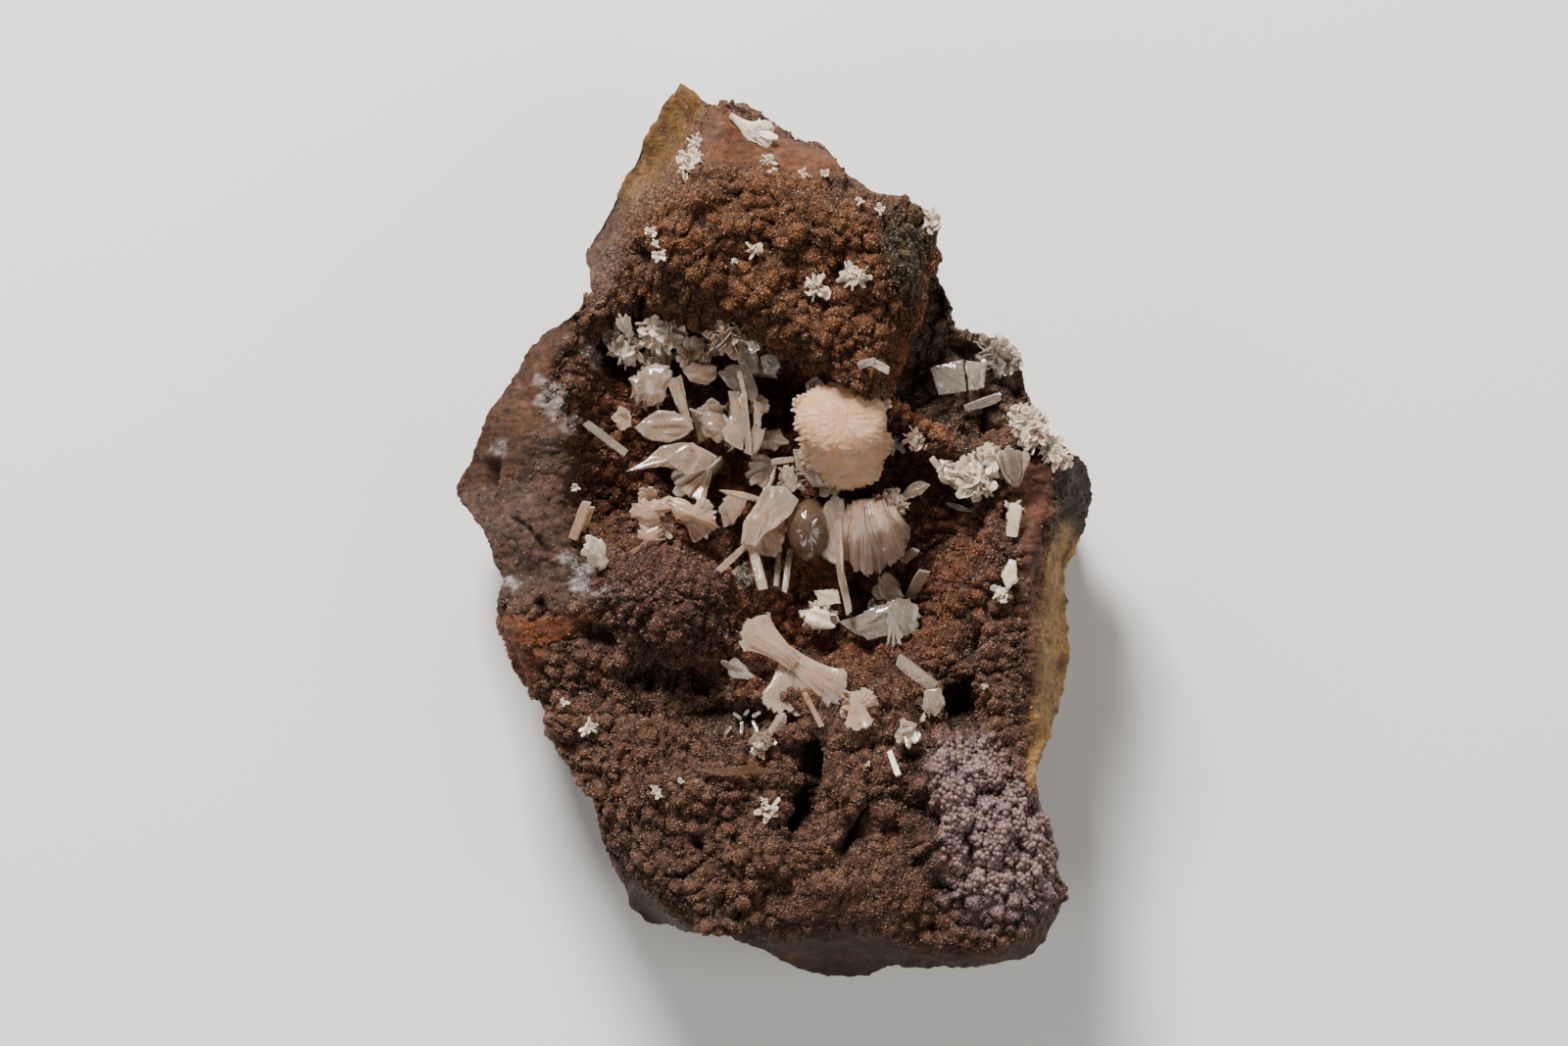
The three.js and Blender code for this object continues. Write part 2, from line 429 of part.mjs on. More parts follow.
// Crystal groups: each is one solid, with the colour of its substance
const GROUPS = {
  // the pocket's main cluster: two balls of radiating blades, the amber ball and the spray grown into them
  main_ball_cluster: {
    colour: 'peach',
    parts: () => [
      tier({ at: [4.8, 7.6, 4.6], radii: [BALL_RADIUS, 3.0, 2.9], notches: 17 }),
      tier({ at: [4.6, 5.0, 3.6], radii: [3.1, 1.7, 2.6], notches: 15, tilt: 12, detail: 1 }),
      tier({ at: [4.9, 3.4, 2.7], radii: [2.3, 1.2, 2.2], notches: 13, tilt: 20, detail: 1 }),
      crystal({ form: 'disc', from: [5.2, 9.2, 4.4], to: [6.8, 11.0, 6.4], width: 1.7, roll: 60 }),
      crystal({ form: 'blade', from: [4.0, 5.4, 1.2], to: [1.7, 3.9, 3.4], width: 2.2, roll: 30 }),
      ...fan({
        from: [6.9, 2.4, 2.2], to: [8.4, -2.2, 4.4], width: 2.4, count: 4, spread: 84, thick: 0.9, lift: 0.9,
      }),
      tier({ at: [6.9, 0.6, 3.4], radii: [2.5, 2.5, 2.2], notches: 14, detail: 1 }),
      tier({ at: [2.6, 0.0, 2.3], radii: [1.6, 2.2, 1.7], notches: 9, detail: 1 }),
      crystal({ from: [4.6, 1.9, 1.6], to: [4.4, -2.9, 2.6], width: 1.5, roll: 40 }),
      crystal({ form: 'blade', from: [4.6, -0.4, 2.2], to: [5.4, -5.9, 3.2], width: 0.8, roll: 25 }),
      crystal({
        form: 'spear', from: [1.6, 3.2, 2.2], to: [-1.0, -1.8, 4.2], width: 3.2, thick: 0.9, roll: -12,
      }),
      crystal({ form: 'blade', from: [-0.9, 0.2, 3.2], to: [-4.6, -3.7, 4.8], width: 0.75, thick: 0.5 }),
      crystal({ form: 'blade', from: [-1.2, -0.8, 3.4], to: [-0.2, -5.2, 4.9], width: 0.85, thick: 0.5 }),
      crystal({ form: 'spear', from: [0.6, 2.0, 2.0], to: [-3.7, 2.7, 3.4], width: 0.7, roll: 20 }),
      crystal({ form: 'blade', from: [-1.0, 1.0, 1.6], to: [-3.4, 0.2, 2.6], width: 1.4, roll: 50 }),
    ],
  },
  curved_spray: {
    colour: 'cream',
    parts: () => [
      foot({ at: [-9.0, 0.8, 2.6], width: 1.6 }),
      crystal({ form: 'disc', from: [-9.8, -1.0, 0.6], to: [-9.4, 2.2, 2.6], width: 1.4, thick: 0.8 }),
      ...fan({
        from: [-8.6, 0.9, 1.6], to: [-5.0, 1.4, 3.2], width: 1.6, count: 3, spread: 48, thick: 0.6,
      }),
      crystal({ form: 'spear', from: [-9.3, 1.6, 2.0], to: [-3.4, 0.2, 2.8], width: 1.3, roll: 25 }),
    ],
  },
  spear_crystal: {
    colour: 'clear_cream',
    parts: () => [
      foot({ at: [-4.0, 4.6, 2.6], lean: [-0.4, 0.6], width: 1.5 }),
      crystal({ form: 'spear', from: [-4.0, 5.0, 2.4], to: [-10.4, 4.2, 4.6], width: 2.2, thick: 0.8 }),
      crystal({ form: 'disc', from: [-3.6, 4.0, 1.8], to: [-6.2, 5.8, 3.4], width: 2.0, roll: -20 }),
      ...fan({ from: [-4.2, 4.6, 1.8], to: [-5.9, 2.1, 3.0], width: 1.0, count: 2, spread: 34 }),
    ],
  },
  lens_and_disc: {
    colour: 'cream',
    parts: () => [
      tier({ at: [-7.6, 7.1, 2.9], radii: [2.1, 1.1, 0.8], notches: 2, depth: 0.2, detail: 1 }),
      crystal({ form: 'blade', from: [-5.8, 6.8, 2.2], to: [-7.0, 10.2, 2.4], width: 1.0, roll: 15 }),
      tier({ at: [-8.2, 10.2, 2.4], radii: [1.4, 1.6, 0.9], notches: 5, detail: 1 }),
      foot({ at: [-6.2, 7.6, 2.6], width: 1.3 }),
    ],
  },
  upper_left_rosettes: {
    colour: 'white',
    parts: () => [
      ...rosette({ at: [-10.3, 13.6, 0.2], radius: 1.9, rise: 2.0, count: 4 }),
      ...rosette({ at: [-7.9, 13.9, 0.2], radius: 1.8, rise: 2.0, count: 4, turn: 40 }),
    ],
  },
  fan_rosette: {
    colour: 'cream',
    parts: () => [
      ...fan({
        form: 'disc', from: [-4.2, 11.0, 0.8], to: [-6.1, 13.1, 3.4], width: 2.1, count: 3,
        spread: 100, lift: 0.9,
      }),
      crystal({ form: 'disc', from: [-3.8, 11.4, 1.0], to: [-2.0, 14.4, 2.8], width: 2.0, roll: 15 }),
    ],
  },
  stacked_plates: {
    colour: 'clear',
    parts: () => [
      crystal({ form: 'slab', from: [-1.0, 11.0, 1.6], to: [0.5, 12.9, 2.9], width: 1.8, thick: 0.45 }),
      crystal({
        form: 'slab', from: [-1.2, 12.0, 2.2], to: [0.3, 10.9, 2.8], width: 1.5, thick: 0.4, roll: 18,
      }),
    ],
  },
  bladed_sheaf: {
    colour: 'clear_cream',
    parts: () => [
      ...fan({ from: [-2.3, 8.5, 1.4], to: [-2.2, 11.8, 4.0], width: 1.6, count: 3, spread: 52 }),
      ...fan({ from: [-2.3, 8.7, 1.4], to: [-2.1, 5.2, 3.6], width: 1.8, count: 2, spread: 40 }),
      crystal({ form: 'flare', from: [-5.2, 6.2, 0.6], to: [-3.4, 8.9, 2.8], width: 2.0, roll: -15 }),
      foot({ at: [-2.3, 8.6, 2.4], width: 1.3 }),
    ],
  },
  left_rod: {
    colour: 'clear',
    parts: () => [
      crystal({ form: 'slab', from: [-10.2, 5.4, 2.2], to: [-13.2, 7.6, 2.2], width: 0.65, thick: 0.6 }),
    ],
  },
  pink_tablet: {
    colour: 'clear_cream',
    parts: () => [
      crystal({
        form: 'slab', from: [-11.2, 7.2, 0.3], to: [-10.2, 8.7, 2.2], width: 1.1, thick: 0.6, roll: 20,
      }),
    ],
  },
  ledge_flakes: {
    colour: 'clear',
    parts: () => [
      crystal({
        form: 'slab', from: [6.2, 11.4, 0.2], to: [8.1, 11.8, 1.0], width: 0.9, thick: 0.5, roll: 20,
      }),
    ],
  },
  recess_block: {
    colour: 'clear',
    parts: () => [
      crystal({
        form: 'slab', from: [11.3, 11.0, 0.8], to: [15.0, 10.9, 1.6], width: 2.3, thick: 1.0, roll: 8,
      }),
      ...rosette({ at: [16.0, 12.4, 0.2], radius: 1.7, rise: 1.9, count: 4, turn: 20 }),
    ],
  },
  right_cluster: {
    colour: 'white',
    parts: () => [
      ...fan({ from: [13.4, 3.0, 1.2], to: [11.6, 5.2, 3.2], width: 0.9, count: 3, spread: 60 }),
      ...rosette({ at: [14.6, 4.0, 0.6], radius: 1.8, rise: 2.2, count: 3, turn: 70 }),
    ],
  },
  right_fan: {
    colour: 'clear_cream',
    parts: () => fan({
      form: 'disc', from: [17.2, 3.0, -0.8], to: [16.9, 5.9, 2.8], width: 1.8, count: 2, spread: 36,
    }),
  },
  right_edge_crust: {
    colour: 'white',
    parts: () => [
      ...rosette({ at: [18.0, 7.2, 0.2], radius: 1.7, rise: 1.6, count: 3 }),
      ...rosette({ at: [19.9, 5.4, 0.3], radius: 1.7, rise: 1.4, count: 3, turn: 30 }),
    ],
  },
  rusty_ring: {
    colour: 'cream',
    parts: () => rosette({ at: [10.2, 6.4, 0.2], radius: 1.1, rise: 1.2, count: 3, turn: 50 }),
  },
  lens_by_ball: {
    colour: 'clear_cream',
    parts: () => [
      crystal({ form: 'spear', from: [9.1, 2.6, 1.6], to: [11.4, 3.3, 2.0], width: 1.1, thick: 0.5 }),
      foot({ at: [9.9, 2.9, 1.8], width: 0.8, thick: 0.5 }),
    ],
  },
  white_slab: {
    colour: 'white',
    parts: () => [
      crystal({ form: 'slab', from: [16.9, -0.4, 0.3], to: [17.2, 1.8, 1.1], width: 1.1, thick: 0.7 }),
    ],
  },
  right_rhomb: {
    colour: 'white',
    parts: () => [
      crystal({ form: 'disc', from: [16.0, -4.4, 0.3], to: [17.2, -2.0, 1.4], width: 1.3, thick: 0.7 }),
    ],
  },
  bow_tie: {
    colour: 'cream',
    parts: () => [
      ...fan({
        form: 'flare', from: [1.6, -9.0, 3.4], to: [-1.8, -6.6, 5.0], width: 2.0, count: 2,
        spread: 24, thick: 0.9,
      }),
      ...fan({
        form: 'flare', from: [0.8, -8.4, 3.4], to: [4.4, -11.6, 4.6], width: 2.1, count: 3,
        spread: 56, thick: 0.9,
      }),
      crystal({ form: 'flare', from: [1.2, -9.0, 2.8], to: [1.2, -12.8, 3.6], width: 2.4, thick: 0.8 }),
    ],
  },
  small_rosette: {
    colour: 'cream',
    parts: () => rosette({ at: [6.2, -12.4, 0.3], radius: 1.7, rise: 1.8, count: 4, turn: 15 }),
  },
  tilted_prism: {
    colour: 'clear_cream',
    parts: () => [
      crystal({ form: 'slab', from: [11.4, -11.0, 0.7], to: [8.9, -9.0, 2.8], width: 1.1, thick: 0.8 }),
      crystal({ form: 'disc', from: [11.2, -13.0, -0.4], to: [11.5, -10.8, 1.6], width: 1.5 }),
    ],
  },
  small_fan: {
    colour: 'white',
    parts: () => fan({ from: [9.4, -13.6, 0.4], to: [9.8, -15.6, 1.8], width: 1.2, count: 2, spread: 50 }),
  },
  white_stack: {
    colour: 'white',
    parts: () => rosette({ at: [3.4, -6.2, 0.4], radius: 1.3, rise: 1.9, count: 4, turn: 25 }),
  },
  clear_plates: {
    colour: 'clear',
    parts: () => [
      crystal({ form: 'disc', from: [7.8, -5.4, 0.5], to: [5.0, -7.2, 1.9], width: 2.2 }),
      ...fan({
        form: 'disc', from: [8.2, -5.6, 0.1], to: [9.4, -8.2, 2.3], width: 1.9, count: 2, spread: 56,
      }),
    ],
  },
  ball_foot_plates: {
    colour: 'clear_cream',
    parts: () => [
      crystal({ form: 'disc', from: [9.2, -4.0, -0.5], to: [7.2, -3.6, 2.0], width: 1.4, roll: 20 }),
    ],
  },
  right_tablet: {
    colour: 'clear_cream',
    parts: () => [
      crystal({
        form: 'slab', from: [9.7, -4.8, -0.4], to: [10.8, -2.8, 2.0], width: 1.0, thick: 0.6, roll: 15,
      }),
    ],
  },
  left_white_plate: {
    colour: 'white',
    parts: () => [
      crystal({ form: 'blade', from: [-11.9, -2.6, 0.4], to: [-13.0, -0.5, 1.8], width: 1.4, thick: 0.7 }),
    ],
  },
  left_tablet: {
    colour: 'cream',
    parts: () => [
      crystal({ form: 'blade', from: [-14.0, -0.4, 0.0], to: [-13.1, 1.9, 1.1], width: 1.0, thick: 0.6 }),
    ],
  },
  lower_needle: {
    colour: 'amber',
    parts: () => [
      crystal({ form: 'slab', from: [-7.6, -15.4, 0.4], to: [-7.8, -13.4, 1.4], width: 0.5, thick: 0.5 }),
    ],
  },
  thin_lens: {
    colour: 'amber',
    parts: () => [
      crystal({ form: 'spear', from: [0.2, -17.0, -0.1], to: [-5.4, -16.9, 0.5], width: 0.9, thick: 0.45 }),
    ],
  },
  stem_cluster: {
    colour: 'clear_cream',
    parts: () => [
      ...fan({
        form: 'disc', from: [-0.6, -14.6, 0.4], to: [-1.2, -16.2, 1.8], width: 1.3, count: 2, spread: 60,
      }),
      crystal({ form: 'blade', from: [-0.6, -14.8, 0.6], to: [0.8, -13.0, 2.2], width: 0.8 }),
    ],
  },
  small_prism: {
    colour: 'white',
    parts: () => [
      crystal({ form: 'slab', from: [8.4, -15.7, 0.3], to: [8.9, -17.2, 1.6], width: 0.7, thick: 0.6 }),
    ],
  },
  lower_star: {
    colour: 'white',
    parts: () => rosette({ at: [-0.1, -19.7, 0.1], radius: 0.95, rise: 1.0, count: 3, thick: 0.45 }),
  },
  pocket_lip_plate: {
    colour: 'clear',
    parts: () => [
      crystal({ form: 'disc', from: [-1.4, -10.4, 0.5], to: [-3.4, -9.2, 1.6], width: 1.1, thick: 0.5 }),
    ],
  },
  bulge_star: {
    colour: 'white',
    parts: () => [
      ...rosette({ at: [3.2, 17.1, 0.1], radius: 1.2, rise: 1.1, count: 4, thick: 0.45, turn: 45 }),
      ...rosette({ at: [5.8, 17.7, 0.1], radius: 1.2, rise: 1.2, count: 3, thick: 0.5 }),
    ],
  },
  top_crust: {
    colour: 'white',
    parts: () => [
      crystal({ form: 'blade', from: [-2.8, 29.2, 0.2], to: [-0.4, 27.2, 1.0], width: 1.6, thick: 0.7 }),
      crystal({ form: 'blade', from: [-1.6, 27.8, 0.3], to: [0.1, 27.6, 1.1], width: 1.0, thick: 0.6 }),
    ],
  },
  upper_left_crust: {
    colour: 'white',
    parts: () => rosette({ at: [-5.6, 26.2, 0.2], radius: 1.3, rise: 0.9, count: 3, thick: 0.5, turn: 80 }),
  },
  corner_crust: {
    colour: 'white',
    parts: () => rosette({
      at: [10.9, 21.5, 0.1], radius: 1.2, rise: 1.0, count: 3, thick: 0.6, turn: 100,
    }),
  },
};

const COLOURS = {
  peach: { color: '#e6c9a4', roughness: 0.35 },
  cream: { color: '#e4d4b8', roughness: 0.3 },
  clear_cream: { color: '#cfc3ae', roughness: 0.2 },
  clear: { color: '#c3c1b8', roughness: 0.15 },
  white: { color: '#f1ede6', roughness: 0.4 },
  amber: { color: '#b98a54', roughness: 0.25 },
};

const group = new THREE.Group();

const rockGeometry = matrixRock();
const rock = new THREE.Mesh(
  rockGeometry,
  new THREE.MeshStandardMaterial({ color: '#6b4232', roughness: 0.9, metalness: 0 }),
);
rock.name = 'matrix_rock';
group.add(rock);

const cutter = raisedRock(rockGeometry);
for (const [name, { colour, parts }] of Object.entries(GROUPS)) {
  const joined = parts().reduce((whole, piece) => whole.add(piece));
  const clear = joined.subtract(cutter).decompose();
  const largest = clear.reduce((best, piece) => (piece.volume() > best.volume() ? piece : best));
  const { color, roughness } = COLOURS[colour];
  const mesh = new THREE.Mesh(
    toGeometry(largest),
    new THREE.MeshStandardMaterial({ color, roughness, metalness: 0 }),
  );
  mesh.name = name;
  group.add(mesh);
}

// The plan's middle is moved over the origin
const middle = new THREE.Box3().setFromObject(group).getCenter(new THREE.Vector3());
group.position.set(-middle.x, -middle.y, 0);

export default group;
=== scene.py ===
"""Brandtite on matrix: a druse-covered piece of brown rock with cream blade crystals in its pocket."""

import math
import random

import bmesh
import bpy
import numpy as np
from bpy.props import FloatProperty, FloatVectorProperty, IntProperty, PointerProperty
from mathutils import Matrix, Vector, noise
from mathutils.bvhtree import BVHTree


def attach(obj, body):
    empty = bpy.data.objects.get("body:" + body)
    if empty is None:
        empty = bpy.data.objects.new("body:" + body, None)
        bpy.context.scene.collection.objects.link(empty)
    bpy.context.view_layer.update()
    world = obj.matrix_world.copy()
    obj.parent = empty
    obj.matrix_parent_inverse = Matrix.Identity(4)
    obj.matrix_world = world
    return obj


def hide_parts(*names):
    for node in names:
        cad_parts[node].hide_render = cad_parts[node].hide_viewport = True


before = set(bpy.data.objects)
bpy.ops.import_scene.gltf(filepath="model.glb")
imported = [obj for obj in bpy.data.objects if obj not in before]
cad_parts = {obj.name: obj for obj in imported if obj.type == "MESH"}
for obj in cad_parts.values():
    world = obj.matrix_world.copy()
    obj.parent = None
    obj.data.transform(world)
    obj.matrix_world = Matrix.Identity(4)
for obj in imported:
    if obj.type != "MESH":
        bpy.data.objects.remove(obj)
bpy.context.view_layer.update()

bl_info = {
    "name": "Brandtite on matrix",
    "version": (1, 0, 0),
    "blender": (4, 5, 0),
    "location": "3D View > Sidebar > Brandtite",
    "description": "Builds a brandtite specimen: the druse-covered rock and its crystals",
    "category": "Add Mesh",
}

MM = 0.001
ROCK_NODE = "matrix_rock"
PLAN_SHIFT = (0.0, 0.45)  # the CAD plan's middle was moved over the origin by this, in mm
PLAN_CENTRE = (0.9 + PLAN_SHIFT[0], -1.4 + PLAN_SHIFT[1])  # the rock's outline is star-shaped about it


# Colours

def linear(hex_colour):
    """An sRGB hex colour as linear red, green, blue."""
    shares = [int(hex_colour[i:i + 2], 16) / 255 for i in (1, 3, 5)]
    return tuple(s / 12.92 if s <= 0.04045 else ((s + 0.055) / 1.055) ** 2.4 for s in shares)


def rgba(colour):
    """A colour property, or an sRGB hex colour, as linear red, green, blue and full alpha."""
    return (*(linear(colour) if isinstance(colour, str) else colour), 1.0)


def colour_property(name, description, hex_colour):
    return FloatVectorProperty(
        name=name, description=description, subtype="COLOR", size=3, min=0, max=1, default=linear(hex_colour))


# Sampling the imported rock

def node_tree(name):
    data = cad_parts[name].data
    corners = [vertex.co.copy() for vertex in data.vertices]
    return BVHTree.FromPolygons(corners, [tuple(face.vertices) for face in data.polygons])


ROCK_TREE = node_tree(ROCK_NODE)
# Rays down to the rock start this high, and rays in to its sides this far from its middle, in m
RAY_TOP = 0.1
RAY_SIDE = 0.06


def ground(x, y):
    """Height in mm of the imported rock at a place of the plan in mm."""
    hit = ROCK_TREE.ray_cast(Vector((x * MM, y * MM, RAY_TOP)), Vector((0, 0, -1)))[0]
    return hit.z / MM if hit else 0.0


def placed(point, over=None):
    """A plan place and a height above the rock, there or at another place, as a point in mm."""
    base = over or point
    rock = ground(base[0] + PLAN_SHIFT[0], base[1] + PLAN_SHIFT[1])
    return Vector((point[0] + PLAN_SHIFT[0], point[1] + PLAN_SHIFT[1], rock + point[2]))


def blurred(grid, weight, sigma):
    """A grid smoothed where it is known; sigma is in cells."""
    reach = int(3 * sigma)
    kernel = np.exp(-0.5 * (np.arange(-reach, reach + 1) / sigma) ** 2)
    kernel /= kernel.sum()

    def smooth(a):
        for axis in (0, 1):
            a = np.apply_along_axis(lambda row: np.convolve(row, kernel, "same"), axis, a)
        return a

    return smooth(grid * weight) / np.maximum(smooth(weight), 1e-6)


class HeightMap:
    """The height in mm of the rock's face over the plan, smoothed over the CAD model's facets."""

    step = 0.16
    reach = (24.0, 33.5)

    def __init__(self, sigma_mm):
        xs = np.arange(-self.reach[0], self.reach[0], self.step)
        ys = np.arange(-self.reach[1], self.reach[1], self.step)
        grid = np.zeros((len(ys), len(xs)))
        for j, y in enumerate(ys):
            for i, x in enumerate(xs):
                grid[j, i] = ground(x, y)
        known = (grid > 0.5).astype(float)
        self.grid = blurred(grid, known, sigma_mm / self.step)

    def __call__(self, x, y):
        fx = np.clip((x + self.reach[0]) / self.step, 0, self.grid.shape[1] - 1.001)
        fy = np.clip((y + self.reach[1]) / self.step, 0, self.grid.shape[0] - 1.001)
        i = fx.astype(int)
        j = fy.astype(int)
        tx = fx - i
        ty = fy - j
        g = self.grid
        low = g[j, i] * (1 - tx) + g[j, i + 1] * tx
        high = g[j + 1, i] * (1 - tx) + g[j + 1, i + 1] * tx
        return low * (1 - ty) + high * ty


def side_radius(angle, height):
    """Distance in mm from the plan's centre to the rock's side, at a height in mm."""
    out = Vector((math.cos(angle), math.sin(angle), 0))
    centre = Vector((PLAN_CENTRE[0] * MM, PLAN_CENTRE[1] * MM, height * MM))
    hit = ROCK_TREE.ray_cast(centre + out * RAY_SIDE, -out)[0]
    return (hit - centre).length / MM if hit else 0.0


# Patterns over points, all in mm

def each_point(points, function):
    return np.array([function(Vector(p)) for p in points])


def domes(points, size, seed):
    """Round knobs with creases between them, from 0 in a crease to 1 on top, one every size mm."""
    shift = Vector((seed * 7.3, seed * 3.1, seed * 5.7))

    def one(p):
        warped = p / size + 0.16 * noise.noise_vector(p / size * 0.8 + shift)
        near = noise.voronoi(warped + shift)[0]
        return min(1.0, (near[1] - near[0]) * 2.2), near[0]

    found = each_point(points, one)
    return np.sqrt(found[:, 0]) * (1 - 0.45 * found[:, 1])


def clouds(points, size, seed, octaves=3):
    """Smooth noise from about -1 to 1, with features of size mm."""
    shift = Vector((seed * 5.1, seed * 2.7, seed * 9.2))
    return each_point(points, lambda p: noise.fractal(p / size + shift, 1.0, 2.0, octaves))


def smoothstep(x, low, high):
    t = np.clip((x - low) / (high - low), 0, 1)
    return t * t * (3 - 2 * t)


def line_distance(x, y, line):
    best = np.full(x.shape, np.inf)
    for (ax, ay), (bx, by) in zip(line, line[1:]):
        dx, dy = bx - ax, by - ay
        t = np.clip(((x - ax) * dx + (y - ay) * dy) / (dx * dx + dy * dy), 0, 1)
        best = np.minimum(best, np.hypot(x - ax - t * dx, y - ay - t * dy))
    return best


def inside(x, y, outline, softness):
    """1 inside an outline of the plan and 0 outside, with a soft edge."""
    x = x - PLAN_SHIFT[0]
    y = y - PLAN_SHIFT[1]
    closed = outline + outline[:1]
    within = np.zeros(x.shape, bool)
    for (ax, ay), (bx, by) in zip(closed, closed[1:]):
        if ay == by:
            continue
        crosses = ((ay > y) != (by > y)) & (x < (bx - ax) * (y - ay) / (by - ay) + ax)
        within ^= crosses
    depth = line_distance(x, y, closed) * np.where(within, 1, -1)
    return smoothstep(depth, -softness / 2, softness / 2)


def near_line(x, y, line, half):
    """1 on a line of the plan, falling to 0 over about half mm on each side."""
    return np.exp(-(line_distance(x - PLAN_SHIFT[0], y - PLAN_SHIFT[1], line) / half) ** 2)


# Zones of the rock's face, as outlines on the plan in mm, with the width of their soft edge

ZONES = {
    "zone_red": (2.5, [
        (-8.6, 25.0), (0.5, 26.0), (9.0, 23.4), (11.4, 20.7), (11.0, 15.0), (8.4, 10.0), (3.5, 9.4),
        (-3.0, 12.6), (-10.5, 14.6), (-11.2, 20.0)]),
    "zone_dark": (3.0, [
        (-13.0, 13.0), (-5.0, 12.6), (2.0, 11.4), (8.0, 8.4), (13.0, 5.6), (15.5, 0.0), (14.0, -8.0),
        (8.0, -12.0), (-3.5, -11.5), (-3.6, -3.0), (-8.0, -0.4), (-13.6, -0.4)]),
    "zone_purple": (1.6, [
        (-12.8, -3.6), (-10.0, -1.5), (-5.4, -1.6), (-2.6, -4.0), (-2.8, -8.6), (-8.0, -9.6), (-13.0, -7.2)]),
    "zone_lilac": (2.4, [
        (10.4, -15.0), (14.8, -14.2), (18.6, -17.2), (20.4, -24.4), (19.6, -27.4), (14.8, -28.0),
        (12.2, -26.2), (12.0, -22.0), (11.2, -18.0)]),
    "zone_shelf": (1.2, [
        (-1.0, -26.6), (2.6, -24.6), (6.0, -24.4), (9.6, -24.2), (11.4, -22.0), (12.4, -18.0), (13.4, -18.0),
        (13.2, -22.5), (11.8, -25.6), (9.0, -27.6), (4.0, -28.0), (0.6, -27.4)]),
    "zone_ochre": (1.0, [
        (19.6, -1.4), (21.0, 1.2), (22.8, 0.4), (22.6, -11.0), (20.2, -16.2), (19.0, -18.6), (17.9, -18.4),
        (18.3, -15.4), (18.8, -7.0)]),
    "zone_back_lobe": (1.0, [
        (-4.3, 30.8), (-5.6, 28.0), (-7.0, 25.9), (-9.2, 24.0), (-10.6, 22.4), (-12.4, 18.2), (-15.9, 18.4),
        (-15.9, 23.8), (-10.3, 31.5), (-6.8, 34.3)]),
    "zone_lobe_foot": (2.0, [
        (-10.2, 23.4), (-11.4, 18.2), (-15.9, 17.8), (-17.0, 23.8), (-13.0, 26.4)]),
    "zone_terracotta": (0.7, [
        (-4.2, 30.4), (-3.0, 29.6), (-0.9, 28.4), (1.7, 27.6), (4.4, 27.2), (4.9, 25.7), (3.0, 24.7),
        (-1.2, 25.9), (-5.3, 25.7), (-6.6, 25.9)]),
    "zone_smooth_left": (1.0, [
        (-12.7, 18.2), (-14.2, 14.8), (-15.4, 11.6), (-16.4, 8.0), (-17.2, 4.6), (-18.4, 3.6), (-24.0, 3.0),
        (-21.4, 9.0), (-16.8, 14.6)]),
    "zone_tan": (1.4, [
        (-20.8, 7.6), (-16.6, 8.4), (-14.8, 9.6), (-13.6, 6.0), (-13.4, 2.0), (-13.8, -2.2), (-12.4, -5.0),
        (-15.0, -5.6), (-19.4, -5.2), (-20.6, -1.0), (-22.6, 2.6)]),
    "zone_rim": (0.9, [
        (-20.4, -5.6), (-17.0, -6.4), (-13.0, -5.6), (-12.4, -7.0), (-16.0, -8.4), (-17.0, -11.6),
        (-18.2, -12.0)]),
    "zone_recess": (1.4, [
        (11.4, 18.0), (10.4, 15.4), (9.2, 12.8), (8.6, 9.4), (11.0, 7.6), (14.2, 6.6), (17.2, 7.6),
        (17.6, 11.0), (15.2, 13.2), (12.8, 14.6), (12.6, 17.5)]),
    "zone_olive": (1.6, [
        (7.6, 23.2), (11.2, 22.4), (12.4, 19.6), (11.6, 16.4), (9.6, 15.6), (8.0, 18.4)]),
    "zone_under": (1.0, [
        (-10.4, -24.9), (-4.8, -28.4), (0.9, -29.0), (7.0, -28.5), (10.0, -29.6), (15.6, -29.9),
        (18.0, -28.9), (20.4, -27.0), (22.0, -33.0), (-12.0, -33.0)]),
    "zone_right_strip": (0.9, [
        (17.6, 5.0), (20.2, 4.6), (19.4, -0.4), (18.9, -7.0), (18.6, -15.6), (18.1, -16.0), (18.2, -7.0),
        (17.6, 0.0)]),
    "zone_corner": (0.9, [
        (20.6, 5.4), (23.4, 5.0), (23.6, 0.4), (21.6, -0.6), (20.4, 1.6)]),
}

# Chalky lilac-white patches: place and radius on the plan, in mm
CHALK_PATCHES = [
    (-12.4, 12.1, 0.9), (-15.4, 9.2, 1.5), (-14.2, 7.6, 0.9), (-13.4, -3.2, 1.3), (-19.2, 5.8, 0.7),
    (-18.4, -3.7, 0.6), (-14.4, -2.2, 0.8), (-12.0, -4.2, 0.7), (-16.4, 10.6, 0.6),
]

# The pointed end: its direction from the plan's centre and its breadth, in radians, and how far it sticks
# out, in mm
TIP_TURN = 1.789
TIP_BREADTH = 0.018
TIP_REACH = 0.9

# How far a zone's edge wanders down the sides, in mm
SIDE_STRAY = 5.0

# The rock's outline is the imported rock's widest at these heights in mm, in this many directions
OUTLINE_LEVELS = (5.5, 19.5, 0.5)
OUTLINE_TURNS = 1800
# Its reach is smoothed by a median of this many directions, then by these weights
OUTLINE_WINDOW = 11
OUTLINE_WEIGHTS = (0.1, 0.2, 0.4, 0.2, 0.1)

# The deepest hollow and the highest lump that the relief adds, in mm
RELIEF_LIMITS = (-3.0, 0.62)

